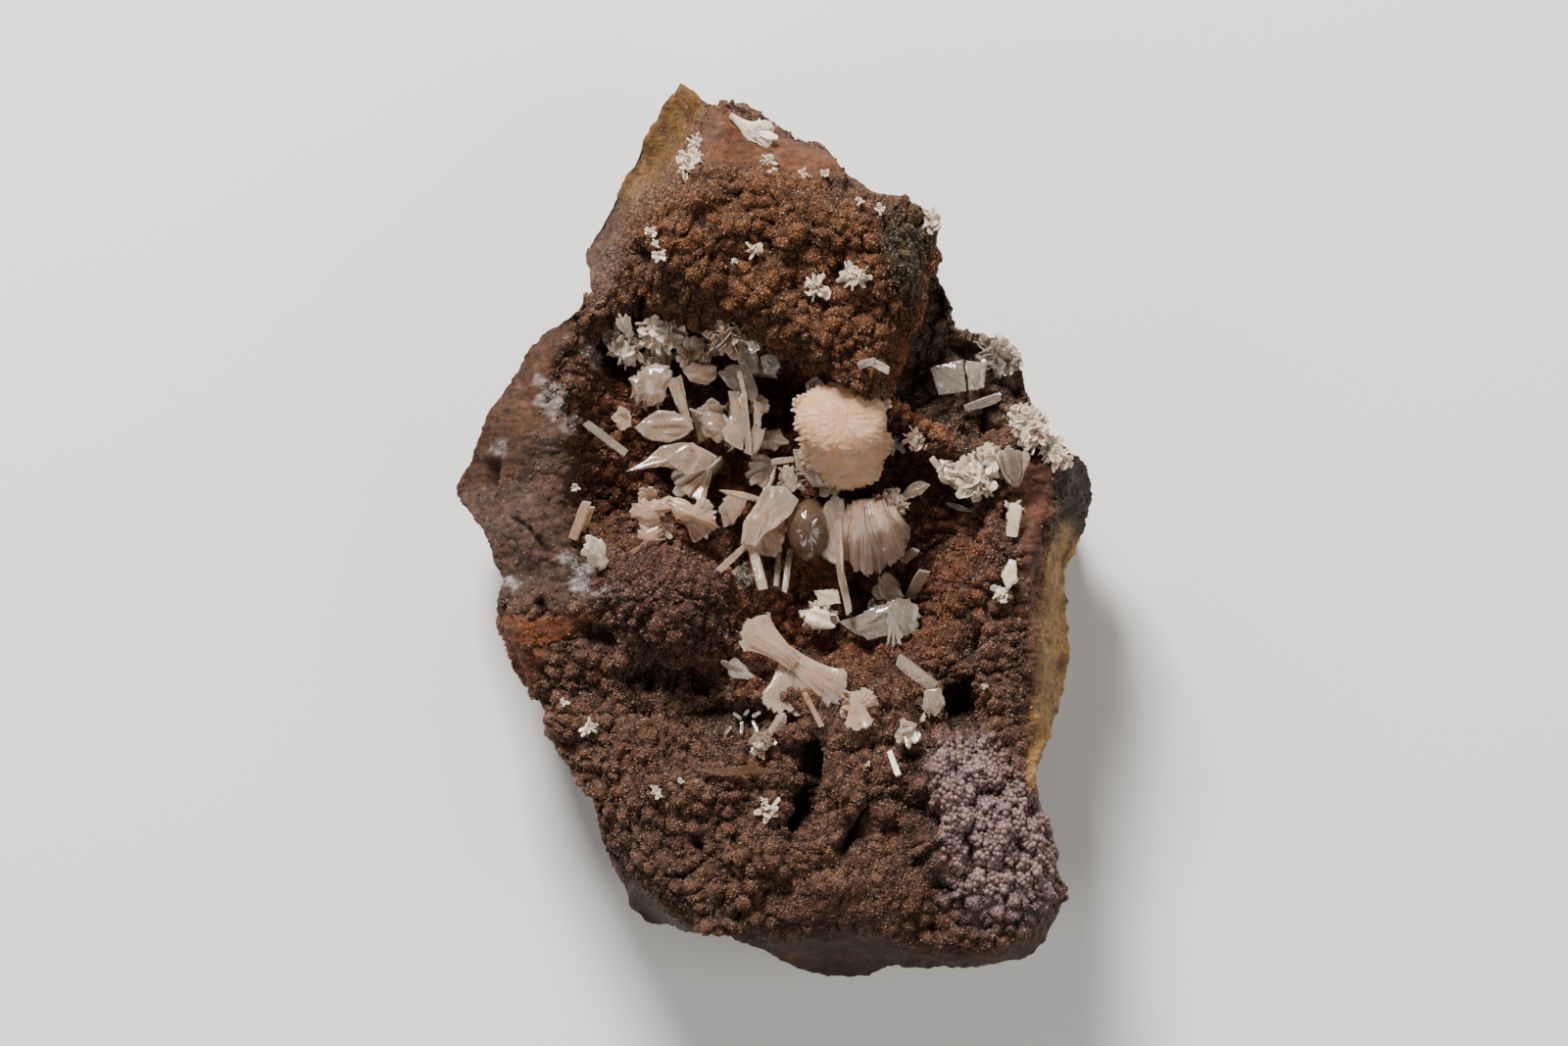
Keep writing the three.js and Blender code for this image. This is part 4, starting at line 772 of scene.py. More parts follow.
def druse_tree():
    """Geometry nodes that grow faceted or round grains over a surface, where a named mask allows."""
    tree = bpy.data.node_groups.new("grow druse", "GeometryNodeTree")
    interface = tree.interface
    interface.new_socket("Geometry", in_out="INPUT", socket_type="NodeSocketGeometry")
    interface.new_socket("Mask", in_out="INPUT", socket_type="NodeSocketString")
    for name in ("Density", "Spacing", "Grain size"):
        interface.new_socket(name, in_out="INPUT", socket_type="NodeSocketFloat")
    for name in ("Seed", "Segments", "Rings"):
        interface.new_socket(name, in_out="INPUT", socket_type="NodeSocketInt")
    interface.new_socket("Round", in_out="INPUT", socket_type="NodeSocketBool")
    interface.new_socket("Material", in_out="INPUT", socket_type="NodeSocketMaterial")
    interface.new_socket("Geometry", in_out="OUTPUT", socket_type="NodeSocketGeometry")
    given = add_node(tree, "NodeGroupInput").outputs
    mask = add_node(
        tree, "GeometryNodeInputNamedAttribute", {"data_type": "FLOAT"}, {"Name": given["Mask"]},
    ).outputs["Attribute"]
    points = add_node(tree, "GeometryNodeDistributePointsOnFaces", {"distribute_method": "POISSON"}, {
        "Mesh": given["Geometry"], "Distance Min": given["Spacing"], "Density Max": given["Density"],
        "Density Factor": mask, "Seed": given["Seed"]})
    tint = add_node(tree, "FunctionNodeRandomValue", {"data_type": "FLOAT"}, {"Seed": 3}).outputs[1]
    tinted = add_node(tree, "GeometryNodeStoreNamedAttribute", {"data_type": "FLOAT", "domain": "POINT"}, {
        "Geometry": points.outputs["Points"], "Name": "tint", "Value": tint})
    grain = add_node(tree, "GeometryNodeMeshUVSphere", None, {
        "Segments": given["Segments"], "Rings": given["Rings"], "Radius": 0.5})
    turn = add_node(tree, "FunctionNodeRandomValue", {"data_type": "FLOAT_VECTOR"}, {
        0: (0, 0, 0), 1: (math.tau, math.tau, math.tau), "Seed": 5})
    size = add_node(tree, "FunctionNodeRandomValue", {"data_type": "FLOAT"}, {2: 0.75, 3: 1.25, "Seed": 7})
    scale = add_node(tree, "ShaderNodeMath", {"operation": "MULTIPLY"}, {
        0: size.outputs[1], 1: given["Grain size"]})
    grown = add_node(tree, "GeometryNodeInstanceOnPoints", None, {
        "Points": tinted.outputs[0], "Instance": grain.outputs["Mesh"], "Rotation": turn.outputs[0],
        "Scale": scale.outputs[0]})
    real = add_node(tree, "GeometryNodeRealizeInstances", None, {"Geometry": grown.outputs[0]})
    rounded = add_node(tree, "GeometryNodeSetShadeSmooth", None, {
        "Geometry": real.outputs[0], "Shade Smooth": given["Round"]})
    painted = add_node(tree, "GeometryNodeSetMaterial", None, {
        "Geometry": rounded.outputs[0], "Material": given["Material"]})
    add_node(tree, "NodeGroupOutput", None, {"Geometry": painted.outputs[0]})
    return tree


def grown_mesh(source, tree, values, name):
    """The plain mesh that a geometry nodes tree makes on a source mesh."""
    carrier = bpy.data.objects.new(name + "_carrier", source)
    bpy.context.scene.collection.objects.link(carrier)
    modifier = carrier.modifiers.new("grow", "NODES")
    modifier.node_group = tree
    for item in tree.interface.items_tree:
        if item.in_out == "INPUT" and item.name in values:
            modifier[item.identifier] = values[item.name]
    depsgraph = bpy.context.evaluated_depsgraph_get()
    made = bpy.data.meshes.new_from_object(carrier.evaluated_get(depsgraph), depsgraph=depsgraph)
    carrier.modifiers.remove(modifier)
    bpy.data.objects.remove(carrier)
    made.name = name
    return made


# Segments and rings of a faceted grain and of a round one
FACETED_GRAIN = (3, 2)
ROUND_GRAIN = (8, 5)
# Bands of the face, from the top down, each with its own druse piece: lower and upper limit of Y in mm, and
# the grains' width and spacing as a share of the druse's own; larger grains are the round lilac nodules
DRUSE_BANDS = {
    "druse_upper_bulge": (13.5, 40.0, 1.0),
    "druse_pocket": (0.5, 13.5, 1.0),
    "druse_middle": (-9.5, 0.5, 1.0),
    "druse_lower_slope": (-19.5, -9.5, 1.0),
    "druse_bottom_lumps": (-40.0, -19.5, 1.0),
    "lilac_nodules": (-25.0, -12.0, 1.75),
}


class BRANDTITE_OT_druse(bpy.types.Operator):
    """Grow the druse of tiny crystals over the rock's face"""

    bl_idname = "brandtite.druse"
    bl_label = "Druse"

    def execute(self, context):
        look = context.scene.brandtite_rock
        rock = bpy.data.objects["matrix_rock_surface"].data
        points = coordinates(rock) / MM
        druse = np.empty(len(points), np.float32)
        rock.attributes["druse"].data.foreach_get("value", druse)
        tree = druse_tree()
        material = druse_material(look)
        lilac = np.empty(len(points), np.float32)
        rock.attributes["zone_lilac"].data.foreach_get("value", lilac)
        lilac = smoothstep(lilac, 0.35, 0.8)
        for seed, (name, (low, high, size)) in enumerate(DRUSE_BANDS.items()):
            band = (points[:, 1] >= low) & (points[:, 1] < high)
            nodules = size > 1
            segments, rings = ROUND_GRAIN if nodules else FACETED_GRAIN
            share = lilac if nodules else 1 - 0.2 * lilac
            store(rock, "grow_here", np.where(band, np.clip(druse * 1.3 - 0.25, 0, 1) * share, 0))
            mesh = grown_mesh(rock, tree, {
                "Mask": "grow_here", "Density": look.grain_density / (size * MM) ** 2,
                "Spacing": look.grain_spacing * size * MM, "Grain size": look.grain_size * size * MM,
                "Seed": seed, "Segments": segments, "Rings": rings, "Round": nodules,
                "Material": material}, name)
            mesh.attributes.remove(mesh.attributes["grow_here"])
            finish_piece(mesh, name, material, [])
        rock.attributes.remove(rock.attributes["grow_here"])
        return {"FINISHED"}


# Crystals

# Width of each crystal form along its length, as shares of its full width
FORMS = {
    "blade": [0.56, 0.74, 0.9, 1.0, 0.92, 0.6],
    "spear": [0.3, 0.72, 1.0, 0.8, 0.42, 0.04],
    "disc": [0.5, 0.84, 1.0, 0.98, 0.84, 0.5],
    "slab": [0.94, 0.98, 1.0, 1.0, 1.0, 0.9],
    "flare": [0.3, 0.36, 0.5, 0.72, 0.92, 1.0],
}
# How far a root reaches into the rock, in mm
ROOT_DEPTH = 2.2
# Cross-section of a blade: places across and through it, with bevelled edges
SECTION = [(-1, 0), (-0.8, 0.9), (0.0, 1.0), (0.8, 0.9), (1, 0), (0.8, -0.9), (0.0, -1.0), (-0.8, -0.9)]
# Profile of a plate from its underside over the rim to its top: share of the outline, height as a share of half
# the thickness, and share of the crown on top of that
PLATE_PROFILE = [
    (0.12, -1.0, 0.0), (0.6, -0.95, 0.0), (0.94, -0.7, 0.0), (1.0, 0.0, 0.0), (0.95, 0.75, 0.0),
    (0.84, 0.85, 0.5), (0.7, 0.9, 1.0), (0.55, 1.0, 1.3), (0.4, 1.0, 1.6), (0.25, 1.0, 1.8), (0.08, 1.0, 1.9),
]
PLATE_STEP = 0.22  # spacing of the corners round a plate's rim, in mm
# Rows and columns of a crust's core, and rows of a sheaf
CRUST_ROWS = 9
CRUST_COLUMNS = 18
SHEAF_ROWS = 12


class CrystalMesh:
    """Collects the closed crystals of one piece; a corner is a point in mm, its edge share (frost and painted
    highlight) and foot share.
    """

    def __init__(self, seed, thinness):
        self.corners = []
        self.faces = []
        self.thinness = thinness
        self.random = random.Random(seed)

    def loft(self, rings):
        start = len(self.corners)
        count = len(rings[0])
        for ring in rings:
            self.corners.extend(ring)
        for row in range(len(rings) - 1):
            a = start + row * count
            for k in range(count):
                n = (k + 1) % count
                self.faces.append((a + k, a + n, a + count + n, a + count + k))
        for first, order in ((start, -1), (start + (len(rings) - 1) * count, 1)):
            for k in range(count // 2 - 1):
                quad = (first + k, first + k + 1, first + count - 2 - k, first + count - 1 - k)
                self.faces.append(quad[::order])

    def mesh(self, name):
        mesh = bpy.data.meshes.new(name)
        points, edge, foot = zip(*self.corners)
        mesh.from_pydata([tuple(p * MM) for p in points], [], self.faces)
        store(mesh, "edge", edge)
        store(mesh, "foot", foot)
        whole = bmesh.new()
        whole.from_mesh(mesh)
        bmesh.ops.recalc_face_normals(whole, faces=whole.faces)
        whole.to_mesh(mesh)
        whole.free()
        mesh.polygons.foreach_set("use_smooth", np.ones(len(mesh.polygons), bool))
        mesh.set_sharp_from_angle(angle=math.radians(34))
        return mesh

    def jitter(self, reach):
        return Vector([self.random.uniform(-reach, reach) for _ in range(3)])


def add_blade(piece, spine, widths, thick, roll=0.0, ragged=0.06):
    """A flat crystal along a spine of points in mm, as wide at each as its widths say."""
    rng = piece.random
    lean = rng.uniform(-0.22, 0.22)
    rings = []
    for i, (centre, width) in enumerate(zip(spine, widths)):
        place = i / (len(spine) - 1)
        along = (spine[min(i + 1, len(spine) - 1)] - spine[max(i - 1, 0)]).normalized()
        side = Vector((along.y, -along.x, 0))
        side = side.normalized() if side.length > 1e-3 else Vector((1, 0, 0))
        side = Matrix.Rotation(math.radians(roll), 3, along) @ side
        facing = side.cross(along)
        depth = thick * piece.thinness / 2 * (1 - 0.4 * place * place) * rng.uniform(0.85, 1.15)
        reach = [width / 2 * (1 + ragged * rng.uniform(-2, 2)) for _ in range(2)]
        ring = []
        for across, through in SECTION:
            skew = along * (lean * across * width * place * place)
            point = centre + side * (across * reach[across > 0]) + facing * (through * depth) + skew
            ring.append((point, 1.0 if abs(across) == 1 or place > 0.95 else 0.0, max(0.0, 1 - 1.6 * place)))
        rings.append(ring)
    piece.loft(rings)


def add_root(piece, top, width):
    """A stout blade that carries a crystal, from inside the rock up to its underside."""
    bottom = Vector((top.x, top.y, ground(top.x, top.y) - ROOT_DEPTH))
    add_blade(piece, straight(bottom, top), [width * w for w in FORMS["blade"]], 0.5, 40)


def straight(foot, tip, bend=0.0):
    """Six points from a foot to a tip, bowed upward by a share of the length."""
    rise = Vector((0, 0, (tip - foot).length * bend))
    return [foot.lerp(tip, p) + rise * math.sin(math.pi * p) for p in (0, 0.2, 0.45, 0.7, 0.9, 1)]


def blade(foot, tip, width, thick=0.5, form="blade", roll=0.0, bend=0.0, ragged=0.05):
    """One flat crystal from its foot to its tip; both heights are above the rock at the foot."""
    def draw(piece):
        start = placed(foot)
        end = start + Vector([b - a for a, b in zip(foot, tip)])
        add_root(piece, start.lerp(end, 0.25), width * 0.6)
        add_blade(piece, straight(start, end, bend), [width * w for w in FORMS[form]], thick, roll, ragged)
    return draw


def ribbon(path, widths, thick=0.6, roll=0.0, ragged=0.1):
    """A curved flat crystal along a path on the plan; each height is above the rock at the path's start."""
    def draw(piece):
        start = placed(path[0])
        spine = [start + Vector([b - a for a, b in zip(path[0], point)]) for point in path]
        add_root(piece, spine[1], max(widths) * 0.6)
        add_blade(piece, spine, widths, thick, roll, ragged)
    return draw


def fan(foot, tip, width, count, spread, thick=0.45, roll=0.0, lift=0.5, form="blade", bend=0.0, over=None):
    """Blades that spread from one foot; the middle ones reach furthest."""
    def draw(piece):
        rng = piece.random
        start = placed(foot, over)
        way = Vector([b - a for a, b in zip(foot, tip)])
        if not over:
            add_root(piece, start, width * 0.8)
        for i in range(count):
            share = i / (count - 1) - 0.5 if count > 1 else 0.0
            turned = Matrix.Rotation(math.radians(share * spread + rng.uniform(-4, 4)), 3, "Z") @ way
            turned *= 1 - 0.3 * abs(share) + rng.uniform(-0.12, 0.06)
            end = start + turned + Vector((0, 0, lift * rng.uniform(-0.6, 0.6)))
            widths = [width * rng.uniform(0.6, 1.1) * w for w in FORMS[form]]
            add_blade(piece, straight(start + piece.jitter(0.12), end, bend), widths,
                      thick * rng.uniform(0.6, 1.2), roll + rng.uniform(-20, 20), 0.1)
    return draw


def rosette(at, radius, rise, count, thick=0.3, form="blade", turn=0.0):
    """Small plates that stand round one root in all directions."""
    def draw(piece):
        rng = piece.random
        root = placed(at)
        add_root(piece, root, radius * 0.6)
        for i in range(count):
            angle = math.radians(turn) + i * math.tau / count + rng.uniform(-0.4, 0.4)
            steep = math.radians(rng.uniform(5, 80))
            reach = radius * rng.uniform(0.7, 1.1) * math.cos(steep) * 1.15
            tip = root + Vector((reach * math.cos(angle), reach * math.sin(angle),
                                 max(0.3, rise * math.sin(steep) * rng.uniform(0.8, 1.05))))
            width = radius * rng.uniform(0.35, 0.8)
            add_blade(piece, straight(root, tip), [width * w for w in FORMS[form]], thick,
                      rng.uniform(-85, 85), 0.16)
    return draw


def crust(at, spread, rise, count, size=0.7, thick=0.2, turn=0.0):
    """A sugary mound: a lumpy core with many small plates that stand out of it every way."""
    def draw(piece):
        rng = piece.random
        centre = placed(at)
        turned = Matrix.Rotation(math.radians(turn), 3, "Z")
        seed = rng.uniform(0, 50)
        rings = []
        for row in range(1, CRUST_ROWS):
            polar = math.pi * row / CRUST_ROWS
            girth = math.sin(polar)
            ring = []
            for k in range(CRUST_COLUMNS):
                angle = math.tau * k / CRUST_COLUMNS
                way = Vector((girth * math.cos(angle), girth * math.sin(angle), math.cos(polar)))
                swell = 0.76 + 0.5 * noise.noise(way * 2.2 + Vector((seed, 0, 0)))
                height = way.z * (rise if way.z > 0 else 0.5) * 0.75
                point = Vector((way.x * spread[0], way.y * spread[1], height))
                ring.append((centre + turned @ (point * swell), 0.1, max(0.0, 0.9 - 0.9 * way.z)))
            rings.append(ring)
        piece.loft(rings)
        for _ in range(round(count * 1.25)):
            out = math.sqrt(rng.random())
            angle = rng.uniform(0, math.tau)
            x = spread[0] * out * math.cos(angle)
            y = spread[1] * out * math.sin(angle)
            root = centre + turned @ Vector((x, y, 0))
            root.z += rise * rng.uniform(0.45, 0.8) * math.sqrt(max(0.0, 1 - out * out)) - 0.05
            way = turned @ Vector((1.1 * out * math.cos(angle), 1.1 * out * math.sin(angle), 0.5))
            way = (way + piece.jitter(0.55)).normalized()
            length = size * rng.uniform(0.8, 1.6)
            width = size * rng.uniform(0.6, 1.15)
            spine = straight(root - way * length * 0.6, root + way * length * 0.6)
            add_blade(piece, spine, [width * w for w in FORMS["disc"]], thick, rng.uniform(-90, 90), 0.16)
    return draw


def plate(outline, lift, thick=0.4, lean=(0.0, 0.0), frill=0.05, crown=0.15, over=None):
    """A broad crystal with a drawn outline on the plan; lean is its rise for each mm of x and y."""
    def draw(piece):
        rng = piece.random
        shore = []
        for (ax, ay), (bx, by) in zip(outline, outline[1:] + outline[:1]):
            steps = max(1, round(math.hypot(bx - ax, by - ay) / PLATE_STEP))
            for k in range(steps):
                shore.append(Vector((ax + (bx - ax) * k / steps, ay + (by - ay) * k / steps, 0)))
        if len(shore) % 2:
            shore.append((shore[-1] + shore[0]) / 2)
        middle = sum(shore, Vector()) / len(shore)
        centre = placed((middle.x, middle.y, lift), over)
        chips = [frill * rng.uniform(-1.2, 1.2) for _ in shore]
        far = max(shore, key=lambda point: (point - shore[0]).length)
        along = (far - shore[0]).normalized()
        across = Vector((-along.y, along.x, 0))
        seed = rng.uniform(0, 50)
        depth = thick * piece.thinness / 2
        if not over:
            girth = sum((point - middle).length for point in shore) / len(shore)
            add_root(piece, centre, girth)
        rings = []
        for share, level, rounding in PLATE_PROFILE:
            height = level + rounding * crown
            ring = []
            for k, point in enumerate(shore):
                out = (point - middle) * share + (point - middle).normalized() * chips[k] * share ** 3
                rib = noise.noise(Vector((0.5 * out.dot(along), 2.6 * out.dot(across), seed)))
                rib += 0.5 * noise.noise(Vector((1.6 * out.dot(along), 6.0 * out.dot(across), seed)))
                rise = lean[0] * out.x + lean[1] * out.y + 0.16 * rib * min(1.0, (1 - share) * 8)
                corner = centre + out + Vector((0, 0, height * depth + rise))
                ring.append((corner, 1.0 if share > 0.93 else 0.0, 0.0))
            rings.append(ring)
        piece.loft(rings)
    return draw


def sheaf(foot, tip, widths, strands=17, thick=0.7, ragged=0.1, roll=0.0, arch=0.0, rust_at=1.0):
    """Fibres grown side by side into a flaring spray, finely ribbed, with a ragged end."""
    def draw(piece):
        rng = piece.random
        start = placed(foot)
        way = Vector([b - a for a, b in zip(foot, tip)])
        length = way.length
        along = way.normalized()
        side = Matrix.Rotation(math.radians(roll), 3, along) @ Vector((along.y, -along.x, 0)).normalized()
        facing = side.cross(along)
        add_root(piece, start.lerp(start + way, 0.3), widths[0])
        ends = [1 - 0.22 * (2 * k / strands - 1) ** 2 - ragged * rng.random() for k in range(strands + 1)]
        seed = rng.uniform(0, 50)
        ribs = [
            0.24 * noise.noise(Vector((0.42 * k, seed, 0))) + rng.uniform(-0.05, 0.05)
            for k in range(strands + 1)]
        rings = []
        for row in range(SHEAF_ROWS + 1):
            place = row / SHEAF_ROWS
            width = widths[0] + (widths[1] - widths[0]) * place ** 1.7
            depth = thick / 2 * (1 - 0.35 * place)
            top, bottom = [], []
            for k in range(strands + 1):
                across = 2 * k / strands - 1
                reach = length * place * (1 + (ends[k] - 1) * place ** 2)
                centre = start + along * reach + side * across * width / 2
                centre += Vector((0, 0, arch * math.sin(math.pi * place ** 0.8)))
                swell = math.sqrt(max(0.03, 1 - across * across)) * (1 + ribs[k])
                wave = 0.12 * thick * math.sin(place * 5 + ribs[k] * 9)
                # Painted highlight on the raised ribs; the ragged tips are whiter as frost and painted highlight
                glow = 0.25 + 0.75 * (place > 0.95) + (0.4 if ribs[k] > 0.07 else 0)
                rust = 0.9 * (1 - abs(place - rust_at)) ** 2
                top.append((centre + facing * (depth * swell + wave), min(1.0, glow), rust))
                bottom.append((centre - facing * (depth * swell * 0.8 - wave), min(1.0, glow), rust))
            rings.append(top + bottom[::-1])
        piece.loft(rings)
    return draw


def dome(at, radii, tilt=0.0, turn=0.0, ridges=60, depth=0.05, below=0.55, lip=0.0, rows=30, columns=260):
    """A bun of packed blades with ridges down its sides; a lip is a rim that overhangs its base."""
    def draw(piece):
        centre = placed(at)
        seed = piece.random.uniform(0, 50)
        rotation = Matrix.Rotation(math.radians(turn), 3, "Z") @ Matrix.Rotation(math.radians(tilt), 3, "X")
        rings = []
        for i in range(1, rows):
            polar = math.pi * i / rows
            height = math.cos(polar)
            out = math.sin(polar) ** 0.85
            if height < 0:
                out *= 1 - lip * min(1.0, -height * 2.5)
                height *= below
            fade = math.sin(polar) ** 2
            ring = []
            for j in range(columns):
                angle = math.tau * j / columns
                way = Vector((math.cos(angle), math.sin(angle), 0))
                wobble = noise.noise(Vector((way.x * 2, way.y * 2, polar * 1.3 + seed)))
                ridge = abs(math.sin(angle * ridges / 2 + 5 * wobble))
                tooth = noise.noise(Vector((way.x * 14, way.y * 14, seed)))
                chip = noise.noise(Vector((way.x * 7, way.y * 7, polar * 7 + seed)))
                rim = max(0.0, fade - 0.75) * 4
                carving = fade * (0.4 - 0.4 * ridge - 0.6 * chip) - 1.3 * rim * tooth
                reach = 1 - depth * carving + 0.05 * wobble
                grit = noise.noise(Vector((way.x * out * 12, way.y * out * 12, seed)))
                point = Vector((radii[0] * reach * out * way.x, radii[1] * reach * out * way.y,
                                radii[2] * (height + 0.03 * chip * fade + 0.07 * grit)))
                # Painted highlight on the ridge crests; the rim's teeth are whiter as frost and painted highlight
                shine = 0.3 * ridge * fade + 0.5 * rim * (tooth > 0)
                ring.append((centre + rotation @ point, min(1.0, shine), 0.0))
            rings.append(ring)
        piece.loft(rings)
    return draw


# Crystal pieces. A piece's name is the CAD node that it replaces, apart from the ball cluster's, which replace
# one node together; places are on the CAD plan, in mm, and heights are above the rock below them.
BALL_PIECES = {
    "main_ball": [
        dome((4.9, 7.8, 5.3), (3.35, 2.7, 1.35), tilt=-4, ridges=118, depth=0.05, lip=0.5, below=0.5),
        dome((5.2, 6.1, 3.3), (3.3, 2.5, 1.3), tilt=6, ridges=84, depth=0.08, lip=0.4, below=0.9),
        dome((5.5, 4.7, 2.3), (2.4, 1.9, 1.3), tilt=8, ridges=50, depth=0.1, lip=0.2, below=0.9,
              columns=160),
        dome((3.6, 5.6, 3.1), (1.7, 1.5, 1.1), tilt=6, ridges=40, depth=0.13, lip=0.2, below=0.9,
              columns=120),
        plate([(5.4, 10.0), (6.2, 10.9), (6.7, 11.1), (7.3, 10.9), (7.2, 9.6), (6.4, 9.0)], 5.1,
              lean=(0.1, 0.2), frill=0.1, over=(4.9, 7.8)),
        fan((7.2, 8.8, 5.1), (8.5, 9.0, 5.4), 0.4, 5, 50, thick=0.3, lift=0.2, over=(4.9, 7.8)),
        fan((7.4, 6.0, 3.4), (8.7, 6.2, 3.5), 0.4, 4, 50, thick=0.3, lift=0.2, over=(5.2, 6.1)),
        fan((2.4, 8.6, 5.2), (1.4, 9.3, 5.4), 0.4, 5, 90, thick=0.3, lift=0.2, over=(4.9, 7.8)),
    ],
}
# The blade ball's pleated sprays: foot, tip, widths at both, thickness, arch and roll
BLADE_SPRAYS = [
    ((7.3, 2.1, 2.6), (8.6, -2.5, 1.6), (1.4, 2.8), 2.3, 1.4, 0),
    ((7.9, 1.7, 2.4), (9.4, -1.0, 1.6), (1.3, 2.0), 2.0, 0.9, 0),
    ((6.9, 2.2, 2.8), (7.7, -3.1, 1.9), (0.9, 1.5), 1.7, 1.4, 10),
    ((6.5, 2.2, 2.7), (6.8, -3.4, 2.0), (0.9, 1.8), 1.5, 1.1, -8),
    ((6.1, 2.1, 2.6), (6.0, -3.0, 2.0), (0.8, 1.3), 1.3, 1.1, 12),
    ((5.7, 1.8, 2.4), (5.2, -2.2, 2.0), (0.7, 1.3), 1.0, 0.7, 20),
]
BLADE_BALL = {
    "blade_ball": [
        dome((7.4, -0.2, 1.9), (2.2, 2.3, 2.0), ridges=30, depth=0.08, below=1.0, columns=120),
        *[sheaf(foot, tip, widths, strands=23, thick=thick, ragged=0.07, arch=arch, roll=roll, rust_at=0.1)
          for foot, tip, widths, thick, arch, roll in BLADE_SPRAYS],
        crust((8.5, 1.9, 2.3), (1.2, 0.9), 1.1, 50, 0.45),
    ],
}
GREY_PIECES = {
    "fish_spray": [
        plate([(-0.5, 3.1), (1.0, 3.1), (1.9, 2.1), (1.4, 1.1), (0.4, 0.2), (-0.5, -0.3), (-1.2, -1.2),
               (-2.2, -1.0), (-2.0, 0.6), (-1.2, 1.7)], 3.6, thick=0.9, lean=(-0.15, -0.05), frill=0.03),
        blade((-1.7, -1.0, 3.4), (-4.6, -3.7, 4.6), 0.5, form="slab", ragged=0.02),
        blade((-1.4, -1.2, 3.4), (-0.6, -4.2, 4.4), 0.75, form="slab", ragged=0.03),
        blade((-0.6, 2.1, 2.8), (-3.7, 2.8, 3.5), 0.55, form="spear", roll=20),
        plate([(-3.5, 2.2), (-2.6, 2.8), (-1.7, 2.5), (-1.9, 1.6), (-2.8, 0.3), (-3.4, 1.4)], 2.0,
              lean=(0.3, 0.1)),
        plate([(-0.8, -0.6), (-0.2, 0.0), (0.9, -0.4), (0.7, -1.5), (-0.2, -1.8)], 2.2, thick=0.8,
              frill=0.1),
        plate([(0.7, 4.4), (1.5, 4.6), (1.9, 3.1), (1.6, 2.5), (0.9, 3.2)], 3.0, thick=0.7, frill=0.12),
        blade((1.5, 5.0, 3.0), (0.0, 4.8, 3.4), 0.45, form="slab"),
        crust((1.5, 3.6, 1.6), (0.8, 0.9), 1.6, 22, 0.6),
        plate([(-1.6, 0.4), (-0.4, 1.6), (0.9, 1.2), (1.0, -0.6), (0.2, -2.0), (-1.2, -1.6)], 1.6, thick=0.8,
              frill=0.1, crown=0.6),
        fan((0.2, 4.6, 1.4), (-1.8, 3.6, 2.2), 0.8, 6, 90),
    ],
    "grey_blades": [
        plate([(1.5, 5.7), (1.7, 4.4), (2.9, 3.1), (4.4, 3.0), (4.9, 4.0), (3.0, 5.7)], 2.6,
              lean=(0.0, 0.25)),
        plate([(3.6, 1.6), (4.4, 2.5), (5.1, 2.2), (5.3, 0.8), (5.1, -2.1), (4.4, -2.5), (3.5, -1.8),
               (3.6, 0.0)], 2.6, thick=0.6, lean=(0.35, 0.05), frill=0.08),
        blade((4.7, 0.6, 3.2), (4.9, -3.4, 2.8), 0.6, form="slab", roll=50, bend=0.08),
        blade((4.6, -1.6, 1.8), (5.5, -5.9, 2.6), 0.55, form="slab", roll=25),
        plate([(2.4, 10.4), (2.5, 9.4), (3.6, 9.2), (3.9, 10.2), (3.2, 10.9)], 2.6, lean=(0.1, 0.3)),
        plate([(-3.8, 1.6), (-3.0, 2.4), (-2.2, 1.6), (-2.6, 0.4), (-3.4, 0.2)], 1.4, lean=(-0.3, 0.0)),
        fan((3.2, 3.6, 1.2), (5.0, 2.9, 2.4), 1.0, 5, 60, form="disc"),
    ],
}
AMBER_BALL = {
    "amber_ball": [dome((2.6, 0.0, 2.3), (1.5, 2.2, 1.9), ridges=14, depth=0.03, below=1.0, rows=20, columns=60)],
}
